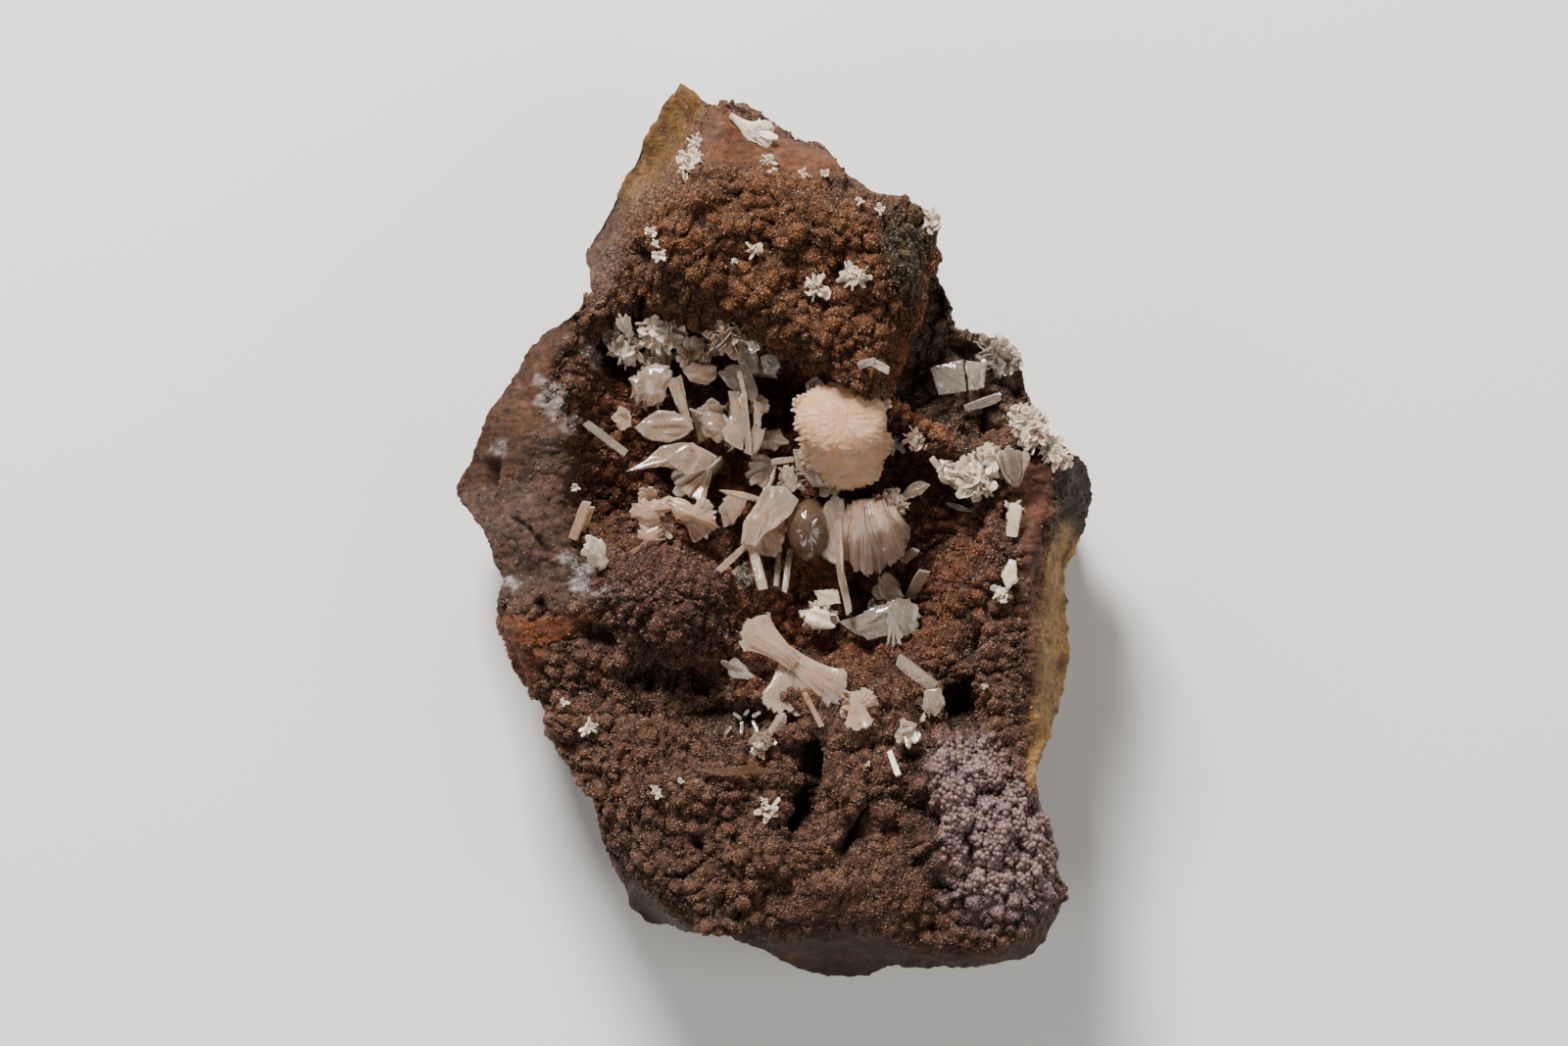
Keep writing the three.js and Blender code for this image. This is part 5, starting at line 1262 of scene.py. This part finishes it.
CREAM_PIECES = {
    "curved_spray": [
        plate([(-10.0, 1.7), (-9.4, 2.1), (-8.2, 2.2), (-7.3, 2.4), (-6.7, 1.7), (-7.6, 1.0), (-8.1, 0.3),
               (-9.3, 0.2), (-9.9, 0.9)], 2.6, thick=0.9, lean=(0.1, 0.15), frill=0.2, crown=0.9),
        plate([(-7.4, 2.3), (-6.3, 2.2), (-5.2, 1.8), (-4.3, 1.1), (-3.7, 0.2), (-4.1, -0.1), (-5.0, 0.1),
               (-6.0, 0.5), (-6.9, 0.9), (-7.2, 1.5)], 2.8, thick=0.9, lean=(-0.05, 0.25), frill=0.16,
              crown=0.9),
        plate([(-9.3, 0.3), (-8.1, 0.4), (-7.5, 0.2), (-7.7, -0.7), (-8.4, -1.4), (-9.2, -2.0), (-9.9, -1.9),
               (-9.9, -1.4), (-9.2, -1.0), (-9.4, -0.4)], 1.8, thick=0.8, lean=(-0.1, 0.2), frill=0.2,
              crown=0.8),
        fan((-8.6, 1.9, 2.0), (-9.0, 3.0, 3.0), 0.6, 6, 80, thick=0.3),
        fan((-5.6, 0.8, 2.2), (-4.0, 1.9, 3.0), 0.6, 5, 60, thick=0.3, form="disc"),
        fan((-6.2, 0.8, 1.6), (-4.2, -0.4, 2.4), 0.5, 6, 70, form="slab"),
        fan((-8.4, 0.6, 1.2), (-7.2, -0.6, 2.0), 0.6, 5, 60),
        blade((-8.6, 0.9, -0.2), (-8.4, 1.0, 2.6), 1.4, form="slab", roll=30),
    ],
    "fan_rosette": [
        plate([(-6.4, 11.3), (-5.7, 11.9), (-3.8, 11.6), (-3.9, 10.7), (-4.7, 10.2), (-5.8, 10.5)], 2.4,
              thick=1.0, lean=(0.0, 0.2)),
        crust((-5.0, 12.9, 0.9), (1.5, 0.9), 1.9, 52, 0.75, turn=20),
        crust((-3.1, 13.6, 0.8), (1.2, 1.1), 1.7, 40, 0.75),
        fan((-5.0, 12.2, 1.2), (-6.5, 13.2, 2.8), 1.0, 6, 110, form="disc"),
        fan((-2.9, 13.4, 1.0), (-2.6, 15.2, 2.2), 0.8, 5, 70),
    ],
    "bow_tie": [
        sheaf((1.6, -9.4, 3.6), (-2.0, -6.4, 4.6), (1.3, 3.4), strands=25, thick=0.8, roll=12),
        sheaf((0.9, -8.7, 3.6), (5.2, -12.0, 4.2), (1.4, 3.5), strands=27, thick=0.8, roll=10),
        sheaf((1.2, -9.0, 3.2), (0.4, -13.0, 4.2), (1.2, 3.2), strands=21, roll=-12),
        sheaf((1.4, -9.2, 3.0), (2.9, -13.4, 3.8), (1.1, 2.6), strands=17, thick=0.6),
        blade((2.3, -11.4, 2.4), (3.5, -13.8, 2.2), 0.4, form="slab"),
        blade((1.2, -9.2, -0.2), (1.3, -8.8, 3.4), 1.2, roll=30, form="slab"),
    ],
    "small_rosette": [
        sheaf((5.9, -11.4, 1.6), (6.2, -14.2, 2.4), (0.9, 2.2), strands=17, thick=0.8),
        sheaf((5.8, -12.6, 1.5), (7.2, -11.4, 2.4), (0.8, 1.8), strands=13, thick=0.6),
        crust((6.0, -12.6, 0.5), (0.9, 1.3), 1.3, 24, 0.7, turn=20),
    ],
    "rusty_ring": [crust((10.2, 6.4, 0.1), (0.7, 0.8), 0.6, 16, 0.5)],
    "left_tablet": [
        blade((-14.0, -0.6, 0.1), (-13.0, 2.0, 1.2), 0.7, form="slab"),
        blade((-13.4, 0.0, 0.1), (-12.7, 1.6, 1.0), 0.5, form="slab", roll=30),
    ],
}
PALE_PIECES = {
    "spear_crystal": [
        plate([(-10.4, 4.1), (-9.0, 4.9), (-7.9, 5.9), (-6.7, 6.2), (-5.6, 6.2), (-4.9, 5.7), (-5.0, 4.9),
               (-6.1, 3.9), (-6.7, 4.3), (-7.9, 4.5), (-9.1, 4.3)], 2.8, thick=0.8, lean=(-0.15, 0.05),
              frill=0.02),
        plate([(-5.6, 6.1), (-4.9, 5.8), (-3.8, 5.2), (-4.6, 4.3), (-6.0, 3.8), (-6.5, 4.3), (-5.2, 4.9)],
              2.9, lean=(0.1, 0.2), frill=0.02),
        fan((-4.2, 4.5, 1.7), (-5.7, 1.9, 2.7), 0.8, 4, 30, form="flare"),
        fan((-4.4, 4.2, 1.3), (-7.2, 2.9, 2.2), 1.0, 4, 40, form="disc"),
        blade((-3.8, 4.2, -0.2), (-4.0, 4.8, 2.8), 1.3, form="slab", roll=30),
    ],
    "lens_and_disc": [
        plate([(-9.7, 7.2), (-9.0, 7.9), (-8.1, 8.5), (-6.9, 8.4), (-5.9, 7.9), (-5.5, 7.2), (-6.1, 6.6),
               (-7.2, 6.2), (-8.4, 6.3), (-9.1, 6.6)], 2.4, thick=0.9, lean=(0.1, 0.15), frill=0.02),
        plate([(-9.1, 11.6), (-8.2, 11.9), (-7.2, 11.6), (-7.0, 10.8), (-7.2, 10.1), (-7.8, 9.0),
               (-8.8, 8.7), (-9.4, 9.5), (-9.5, 10.5)], 2.2, thick=1.2, lean=(0.15, 0.1), frill=0.12,
              crown=0.6),
        plate([(-9.9, 11.0), (-9.0, 11.4), (-8.6, 10.4), (-8.8, 9.2), (-9.7, 9.0), (-10.1, 9.9)], 1.7,
              thick=0.7, frill=0.25, crown=0.8),
        blade((-5.7, 7.1, 2.2), (-7.1, 10.7, 2.6), 0.8, roll=10, ragged=0.03, thick=0.7),
        blade((-5.9, 7.4, 1.9), (-6.6, 10.9, 2.4), 0.5, form="slab", roll=-20),
        crust((-8.6, 10.2, 0.8), (0.9, 1.4), 1.4, 26, 0.7),
        blade((-6.2, 7.4, 0.0), (-6.0, 7.8, 2.6), 1.1, roll=30),
    ],
    "bladed_sheaf": [
        plate([(-3.8, 11.1), (-2.9, 11.7), (-2.0, 11.7), (-1.2, 10.7), (-0.9, 9.5), (-1.2, 9.0), (-2.3, 9.5),
               (-3.1, 10.1)], 3.6, lean=(0.05, 0.1)),
        plate([(-3.1, 9.8), (-2.3, 9.8), (-2.0, 7.4), (-2.7, 7.4)], 3.2, thick=0.6),
        plate([(-1.3, 9.5), (-0.5, 8.5), (-0.8, 7.3), (-1.3, 7.4)], 3.0, thick=0.6, lean=(-0.2, 0.0),
              frill=0.1),
        plate([(-3.5, 7.0), (-2.8, 7.9), (-2.0, 7.7), (-2.0, 5.6), (-2.6, 5.8), (-3.3, 6.3)], 3.2,
              lean=(0.1, 0.05)),
        plate([(-2.0, 5.5), (-1.2, 7.7), (-0.5, 7.0), (-0.8, 5.7), (-1.4, 5.2)], 3.0, lean=(-0.2, 0.1)),
        blade((-1.6, 5.4, 3.2), (-2.0, 9.6, 4.2), 0.5, form="slab", thick=0.7, roll=10),
        blade((-1.9, 9.4, 3.9), (-2.3, 11.2, 4.2), 0.35, form="slab", thick=0.4, roll=20),
        fan((-5.0, 6.4, 0.8), (-4.0, 9.0, 2.6), 1.0, 7, 60, form="flare", roll=-10),
        fan((-1.4, 8.4, 1.6), (-0.4, 9.4, 2.8), 0.7, 4, 70),
        blade((-1.6, 5.8, 1.8), (-0.4, 7.2, 2.8), 0.6, form="spear"),
        blade((-2.3, 8.4, -0.2), (-2.2, 8.8, 2.4), 1.2, form="slab", roll=30),
        crust((-2.6, 7.6, 0.8), (0.8, 1.8), 1.6, 24, 0.7),
        plate([(-5.4, 8.2), (-4.6, 9.0), (-3.6, 8.6), (-3.0, 7.6), (-2.9, 6.6), (-3.9, 6.1), (-4.9, 6.9)],
              2.0, thick=0.9, frill=0.1, crown=0.8),
        plate([(-0.9, 6.9), (0.6, 7.2), (1.2, 6.2), (0.2, 5.6), (-0.8, 5.9)], 1.2, thick=0.5, frill=0.1),
    ],
    "pink_tablet": [plate([(-11.4, 8.0), (-10.7, 8.8), (-10.0, 8.4), (-9.9, 7.3), (-10.7, 7.0)], 1.0, thick=0.7)],
    "right_fan": [fan((17.2, 3.2, 0.2), (16.8, 6.0, 1.6), 0.9, 7, 50, form="disc")],
    "lens_by_ball": [
        plate([(9.0, 2.3), (9.9, 3.3), (10.6, 3.5), (11.3, 3.2), (10.6, 2.5), (9.8, 2.2)], 1.9,
              lean=(0.2, 0.1), frill=0.03),
        blade((9.7, 2.7, -0.2), (9.9, 2.9, 1.7), 0.6, form="slab"),
    ],
    "tilted_prism": [
        blade((11.4, -11.0, 1.0), (8.9, -9.1, 2.6), 0.95, thick=0.9, form="slab", ragged=0.01),
        plate([(10.7, -11.3), (11.9, -11.1), (12.2, -12.3), (11.5, -13.1), (10.6, -12.6)], 1.0, thick=0.8,
              frill=0.08),
        crust((11.2, -12.4, 0.1), (0.7, 0.8), 0.8, 14, 0.6),
    ],
    "ball_foot_plates": [
        plate([(7.1, -4.0), (8.2, -3.6), (9.1, -4.2), (9.4, -4.8), (8.3, -5.1), (7.3, -4.8)], 1.3,
              frill=0.1),
        fan((9.0, -4.0, 0.2), (7.4, -3.8, 1.8), 0.8, 4, 60, form="disc"),
    ],
    "right_tablet": [
        blade((9.9, -4.8, 0.1), (10.8, -2.9, 1.6), 0.9, form="slab", roll=15, thick=0.5),
        blade((9.4, -2.2, 0.2), (10.2, -1.4, 1.6), 0.7, form="slab", roll=15),
    ],
    "small_fan": [
        plate([(8.8, -14.0), (9.1, -13.2), (10.2, -13.6), (9.9, -14.7), (9.2, -15.0)], 0.8, thick=0.7,
              frill=0.12),
        fan((9.4, -13.6, 0.4), (9.7, -15.2, 1.3), 0.7, 5, 70, form="disc"),
    ],
    "stem_cluster": [
        crust((-0.6, -15.0, 0.3), (0.7, 0.7), 0.8, 18, 0.65),
        sheaf((-0.4, -14.6, 0.6), (1.0, -12.9, 1.6), (0.5, 0.9), strands=7, thick=0.4),
    ],
}
CLEAR_PIECES = {
    "stacked_plates": [
        plate([(-2.8, 12.5), (-2.0, 12.8), (-1.1, 12.6), (-0.8, 11.1), (-1.4, 11.0), (-2.3, 11.7)], 2.2,
              lean=(0.1, 0.1)),
        plate([(-0.8, 12.2), (0.1, 12.5), (0.7, 11.6), (0.3, 10.9), (-0.6, 11.0)], 2.0, lean=(-0.2, 0.1)),
        plate([(-1.9, 13.3), (-1.1, 13.5), (-0.8, 12.7), (-1.4, 12.3)], 2.0, lean=(0.1, -0.2)),
        fan((-1.6, 11.6, 1.2), (0.6, 11.9, 2.6), 1.1, 7, 50, form="slab", thick=0.22, roll=40),
    ],
    "left_rod": [blade((-10.3, 5.4, 2.1), (-13.2, 7.6, 2.1), 0.62, thick=0.75, form="slab", ragged=0.01)],
    "ledge_flakes": [
        blade((6.1, 11.5, 0.3), (7.2, 11.8, 0.9), 0.6, form="slab", roll=20),
        blade((7.0, 11.8, 0.3), (8.2, 11.1, 0.9), 0.6, form="slab", roll=20),
    ],
    "recess_block": [
        plate([(11.2, 11.5), (13.6, 12.1), (13.8, 9.8), (11.8, 9.5)], 1.0, thick=1.0, frill=0.03),
        plate([(13.7, 12.0), (15.2, 11.8), (15.0, 10.0), (13.9, 9.8)], 1.1, thick=1.2, frill=0.03),
        blade((13.7, 8.6, 0.3), (16.2, 9.4, 1.4), 0.8, roll=20),
        crust((16.0, 12.4, 0.2), (1.5, 1.1), 0.9, 44, 0.65, turn=-30),
    ],
    "clear_plates": [
        plate([(4.7, -6.5), (5.8, -6.2), (7.4, -5.4), (8.6, -5.2), (8.6, -7.4), (6.8, -7.8), (5.6, -7.2)],
              1.2, thick=0.8, lean=(0.1, 0.1), frill=0.06),
        plate([(8.2, -5.0), (9.6, -4.8), (10.5, -5.5), (10.3, -7.3), (9.0, -7.7), (8.2, -6.6)], 1.4,
              thick=0.7, lean=(-0.1, 0.1), frill=0.1),
        crust((8.6, -6.0, 0.4), (1.6, 1.2), 1.0, 28, 0.7),
        fan((8.6, -6.2, 1.6), (8.8, -8.3, 2.2), 0.25, 7, 40, thick=0.3, form="slab"),
    ],
    "pocket_lip_plate": [fan((-1.4, -10.4, 0.4), (-3.4, -9.2, 1.5), 0.8, 3, 30, form="disc")],
}
WHITE_PIECES = {
    "upper_left_rosettes": [
        crust((-10.4, 13.4, 0.4), (1.1, 1.5), 1.5, 50, 0.75, turn=20),
        crust((-7.9, 14.0, 0.5), (1.4, 1.2), 1.8, 50, 0.8),
        crust((-8.1, 12.3, 0.4), (0.9, 0.6), 1.2, 22, 0.7),
        fan((-10.2, 13.8, 0.8), (-10.6, 15.4, 2.0), 0.6, 4, 40, form="spear"),
    ],
    "right_cluster": [
        crust((14.3, 3.7, 0.8), (1.6, 1.5), 1.7, 56, 0.8, turn=30),
        fan((13.4, 3.0, 1.2), (12.2, 4.8, 2.8), 0.8, 5, 60),
        blade((12.7, 3.4, 1.6), (11.3, 5.1, 2.6), 0.5, form="slab", thick=0.6),
        crust((15.4, 5.0, 0.4), (0.9, 0.8), 1.1, 16, 0.6),
    ],
    "right_edge_crust": [
        crust((18.2, 7.2, 0.2), (1.1, 1.7), 1.2, 56, 0.65, turn=35),
        crust((19.9, 5.6, 0.2), (1.5, 0.8), 0.9, 34, 0.6, turn=-50),
    ],
    "white_slab": [
        blade((16.9, -0.4, 0.2), (17.2, 1.8, 0.8), 0.9, form="slab", thick=0.8),
        crust((17.1, 1.4, 0.1), (0.5, 0.6), 0.5, 9, 0.5),
    ],
    "right_rhomb": [
        plate([(16.1, -3.2), (16.7, -2.0), (17.2, -2.2), (17.3, -3.6), (16.6, -4.2)], 0.7, thick=0.7),
        crust((16.2, -4.4, 0.1), (0.6, 0.5), 0.5, 12, 0.45),
    ],
    "white_stack": [
        plate([(2.2, -6.0), (3.0, -5.4), (4.1, -5.7), (4.2, -6.5), (4.6, -6.9), (3.9, -7.1), (2.7, -7.0)],
              1.6, thick=0.9, frill=0.1),
        plate([(3.0, -4.3), (4.7, -4.2), (4.9, -5.2), (3.4, -5.4)], 1.0, thick=0.4),
        crust((3.3, -6.2, 0.6), (1.0, 0.8), 1.2, 28, 0.65),
    ],
    "left_white_plate": [fan((-11.9, -2.6, 0.3), (-13.0, -0.5, 1.5), 1.0, 5, 40, form="disc", thick=0.5)],
    "small_prism": [blade((8.3, -15.6, 0.3), (8.9, -17.2, 1.2), 0.5, form="slab", thick=0.6)],
    "lower_star": [rosette((-0.1, -19.7, 0.1), 0.95, 0.8, 12)],
    "bulge_star": [
        rosette((3.1, 17.1, 0.2), 1.2, 0.8, 15, turn=45, form="disc"),
        crust((5.8, 17.7, 0.2), (0.9, 0.8), 0.9, 26, 0.6),
    ],
    "top_crust": [
        sheaf((-2.9, 29.3, 0.3), (-0.6, 27.5, 0.8), (0.4, 2.2), strands=13, thick=0.5, ragged=0.3),
        fan((-1.6, 28.2, 0.3), (0.4, 27.7, 0.8), 0.7, 5, 60),
    ],
    "upper_left_crust": [
        crust((-5.8, 25.7, 0.0), (0.8, 0.9), 0.5, 20, 0.55),
        crust((-5.4, 27.2, 0.0), (0.4, 0.7), 0.4, 10, 0.45),
    ],
    "corner_crust": [crust((11.3, 21.6, 0.0), (0.8, 0.8), 0.5, 18, 0.6)],
}
AMBER_PIECES = {
    "lower_needle": [blade((-7.6, -15.4, 0.2), (-7.8, -13.4, 1.0), 0.3, form="slab", thick=0.4)],
    "thin_lens": [
        ribbon([(0.3, -17.0, 0.3), (-1.4, -16.8, 0.5), (-3.4, -17.0, 0.5), (-5.4, -16.8, 0.3)], [0.15, 0.7,
               0.6, 0.1], thick=0.4),
    ],
}

# Small flakes past the CAD model's limit: place on the plan, radius, in mm
WHITE_FLAKES = [
    (8.8, 6.1, 0.7), (-1.2, 19.6, 0.9), (-8.3, 20.9, 0.5), (-7.9, 19.2, 0.5), (-8.1, 20.0, 0.4),
    (-0.2, 26.0, 0.7), (0.2, 25.2, 0.4), (2.2, 25.1, 0.45), (3.8, 25.1, 0.35), (-8.0, -18.4, 0.5),
    (-12.9, -13.9, 0.7),
    (-14.7, -12.1, 0.4), (-0.5, -19.0, 0.3), (9.9, -5.9, 0.6), (7.6, 22.4, 0.4), (6.2, 23.0, 0.35),
    (-2.6, 18.8, 0.25), (15.0, -11.0, 0.2), (-13.9, 3.1, 0.4), (6.8, -16.4, 0.2), (-6.4, -17.6, 0.25),
]
# Stubs of clear prisms below the pocket's lip: places on the plan, in mm
CLEAR_STUBS = [(-2.6, -13.0), (-2.1, -13.6), (-1.7, -12.8), (-2.9, -13.9), (-1.3, -13.5), (-0.9, -12.9)]
SMALL_PRISMS = [
    blade((9.6, 14.2, 0.2), (10.5, 16.8, 0.4), 0.5, thick=0.4, form="spear"),
    blade((1.3, -1.4, 0.4), (0.9, -4.4, 2.0), 0.45, form="slab", thick=0.4),
    blade((0.5, -1.6, 0.4), (0.3, -4.0, 1.8), 0.4, form="slab", thick=0.4),
    crust((-2.4, -3.4, 0.0), (0.9, 0.7), 0.6, 20, 0.5),
    blade((12.0, 5.0, 0.2), (12.8, 3.2, 1.2), 0.4, form="slab"),
    blade((12.4, 1.9, 0.2), (14.2, 1.3, 0.8), 0.5, form="spear"),
]

# Each kind of brandtite: its material's name, its colour, and how see-through, milky, rough, frosted,
# rust-stained and sugary it is
# The frosting whitens edges, breaks, ridges and ribs, partly as frost and partly as painted highlight
KINDS = {
    # balls of packed blades: milky, little light passes, the ends of the blades sparkle
    "peach": ("milky peach brandtite", "peach_colour", 0.25, 0.5, 0.28, 0.4, 0.5, 1.0),
    # sprays and bow-ties: pearly, glowing where they are thin
    "cream": ("cream brandtite", "cream_colour", 0.72, 0.3, 0.13, 0.7, 1.0, 0.2),
    # thin blades: nearly clear, with paler edges
    "pale": ("pale brandtite blades", "pale_colour", 0.82, 0.14, 0.13, 0.8, 0.7, 0.16),
    # clear plates: glassy, white only on edges
    "clear": ("clear brandtite plates", "clear_colour", 0.86, 0.12, 0.1, 0.9, 0.3, 0.1),
    # sugary rosettes of tiny plates: white, scattering, rust at the root
    "white": ("white brandtite rosettes", "white_colour", 0.46, 0.36, 0.2, 0.5, 1.0, 0.3),
    # brown clear crystals
    "amber": ("amber brandtite", "amber_colour", 0.9, 0.06, 0.1, 0.12, 0.3, 0.06),
}


def build_crystals(look, kind, pieces, replaced=()):
    """Builds each named piece; it replaces the CAD node of its name, or the ones given."""
    name, colour, *finish = KINDS[kind]
    material = bpy.data.materials.get(name) or crystal_material(
        name, getattr(look, colour), look.frost_veil_and_highlight_colour, look.stain_colour, *finish)
    for title, parts in pieces.items():
        piece = CrystalMesh(title, look.thinness)
        for draw in parts:
            draw(piece)
        nodes = [title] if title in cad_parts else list(replaced)
        finish_piece(piece.mesh(title + "_crystals"), title + "_crystals", material, nodes)


class BRANDTITE_OT_balls(bpy.types.Operator):
    """Build the large ball, the blade ball, and the spray and amber ball that grew into them"""

    bl_idname = "brandtite.balls"
    bl_label = "Ball cluster"

    def execute(self, context):
        look = context.scene.brandtite_crystals
        for kind, pieces in (
                ("peach", BALL_PIECES), ("cream", BLADE_BALL), ("pale", GREY_PIECES), ("amber", AMBER_BALL)):
            build_crystals(look, kind, pieces, ["main_ball_cluster"])
        return {"FINISHED"}


class BRANDTITE_OT_sprays(bpy.types.Operator):
    """Build the cream sprays, lenses and the bow-tie"""

    bl_idname = "brandtite.sprays"
    bl_label = "Cream sprays"

    def execute(self, context):
        build_crystals(context.scene.brandtite_crystals, "cream", CREAM_PIECES)
        return {"FINISHED"}


class BRANDTITE_OT_blades(bpy.types.Operator):
    """Build the nearly clear blades and prisms"""

    bl_idname = "brandtite.blades"
    bl_label = "Pale blades"

    def execute(self, context):
        build_crystals(context.scene.brandtite_crystals, "pale", PALE_PIECES)
        return {"FINISHED"}


class BRANDTITE_OT_plates(bpy.types.Operator):
    """Build the clear plates and rods"""

    bl_idname = "brandtite.plates"
    bl_label = "Clear plates"

    def execute(self, context):
        build_crystals(context.scene.brandtite_crystals, "clear", CLEAR_PIECES)
        return {"FINISHED"}


class BRANDTITE_OT_rosettes(bpy.types.Operator):
    """Build the white rosettes, crusts and scattered flakes"""

    bl_idname = "brandtite.rosettes"
    bl_label = "White rosettes"

    def execute(self, context):
        flakes = [
            rosette((x, y, 0.1), size * 1.1, size * 0.6, 8, thick=0.2, form="disc")
            for x, y, size in WHITE_FLAKES]
        pieces = {**WHITE_PIECES, "scattered_flakes": flakes}
        build_crystals(context.scene.brandtite_crystals, "white", pieces)
        return {"FINISHED"}


class BRANDTITE_OT_needles(bpy.types.Operator):
    """Build the amber needles, small prisms and stubs"""

    bl_idname = "brandtite.needles"
    bl_label = "Amber needles"

    def execute(self, context):
        look = context.scene.brandtite_crystals
        build_crystals(look, "amber", AMBER_PIECES)
        stubs = []
        for x, y in CLEAR_STUBS:
            tip = (x + 0.4 * math.sin(9 * x), y - 0.5 - 0.3 * math.sin(5 * y), 0.5)
            stubs.append(blade((x, y, -0.1), tip, 0.28, form="slab"))
        build_crystals(look, "clear", {"small_prisms": SMALL_PRISMS + stubs})
        return {"FINISHED"}


# Stage

FLOOR_HALF = 1.5  # half the floor's width, in m
LIGHTS_AIM = (0.0, 0.0, 0.012)  # the point that the lights aim at, in m
SENSOR_WIDTH = 36.0  # in mm
VIEW_HEIGHT = 0.009  # the height at which the view is as wide as its setting says, in m
VIEW_CENTRE = (0.875, 0.49)  # the middle of the view on the plan, in mm


def add_light(name, place, aim, size, power):
    data = bpy.data.lights.new(name, "AREA")
    data.size = size
    data.energy = power
    light = bpy.data.objects.new(name, data)
    light.location = place
    light.rotation_euler = (Vector(aim) - Vector(place)).to_track_quat("-Z", "Y").to_euler()
    bpy.context.scene.collection.objects.link(light)
    return light


class BRANDTITE_OT_stage(bpy.types.Operator):
    """Set the pale floor, the soft studio lights and the camera that looks straight down"""

    bl_idname = "brandtite.stage"
    bl_label = "Stage"

    def execute(self, context):
        look = context.scene.brandtite_stage
        signs = ((-1, -1), (1, -1), (1, 1), (-1, 1))
        mesh = bpy.data.meshes.new("floor")
        mesh.from_pydata([(FLOOR_HALF * a, FLOOR_HALF * b, 0) for a, b in signs], [], [(0, 1, 2, 3)])
        floor = bpy.data.objects.new("floor", mesh)
        context.scene.collection.objects.link(floor)
        material, tree = new_material("matt paper")
        surface = add_node(tree, "ShaderNodeBsdfPrincipled", None, {
            "Base Color": rgba(look.floor_colour), "Roughness": 0.9})
        add_node(tree, "ShaderNodeOutputMaterial", None, {"Surface": surface.outputs[0]})
        mesh.materials.append(material)

        add_light("key", (-0.10, 0.33, 0.25), LIGHTS_AIM, 0.11, look.key_power)
        add_light("fill", (0.32, -0.12, 0.30), LIGHTS_AIM, 0.30, look.fill_power)
        add_light("glow", (-0.30, -0.16, 0.24), LIGHTS_AIM, 0.22, look.fill_power * 0.6)
        world = bpy.data.worlds.new("studio")
        world.use_nodes = True
        background = world.node_tree.nodes["Background"]
        background.inputs["Color"].default_value = (1, 1, 1, 1)
        background.inputs["Strength"].default_value = look.sky_strength
        context.scene.world = world

        camera_data = bpy.data.cameras.new("camera")
        camera_data.lens = look.lens
        camera_data.sensor_width = SENSOR_WIDTH
        camera_data.clip_start = 0.01
        camera = bpy.data.objects.new("camera", camera_data)
        distance = look.lens / SENSOR_WIDTH * look.view_width * MM
        centre = [(place + shift) * MM for place, shift in zip(VIEW_CENTRE, PLAN_SHIFT)]
        camera.location = (centre[0], centre[1], VIEW_HEIGHT + distance)
        context.scene.collection.objects.link(camera)
        context.scene.camera = camera
        return {"FINISHED"}


class BRANDTITE_PT_panel(bpy.types.Panel):
    """Lists the specimen's builders and settings"""

    bl_idname = "BRANDTITE_PT_panel"
    bl_label = "Brandtite"
    bl_space_type = "VIEW_3D"
    bl_region_type = "UI"
    bl_category = "Brandtite"

    def draw(self, context):
        for operator in OPERATORS:
            self.layout.operator(operator.bl_idname)
        for name in SETTINGS:
            settings = getattr(context.scene, name)
            box = self.layout.box()
            for key in settings.__annotations__:
                box.prop(settings, key)


OPERATORS = (
    BRANDTITE_OT_rock, BRANDTITE_OT_druse, BRANDTITE_OT_balls, BRANDTITE_OT_sprays, BRANDTITE_OT_blades,
    BRANDTITE_OT_plates, BRANDTITE_OT_rosettes, BRANDTITE_OT_needles, BRANDTITE_OT_stage,
)


def register():
    for name, settings in SETTINGS.items():
        bpy.utils.register_class(settings)
        setattr(bpy.types.Scene, name, PointerProperty(type=settings))
    for kind in (*OPERATORS, BRANDTITE_PT_panel):
        bpy.utils.register_class(kind)


def unregister():
    for kind in reversed((*OPERATORS, BRANDTITE_PT_panel)):
        bpy.utils.unregister_class(kind)
    for name, settings in SETTINGS.items():
        delattr(bpy.types.Scene, name)
        bpy.utils.unregister_class(settings)


def main():
    register()
    for operator in OPERATORS:
        group, action = operator.bl_idname.split(".")
        getattr(getattr(bpy.ops, group), action)()


if __name__ == "__main__":
    main()
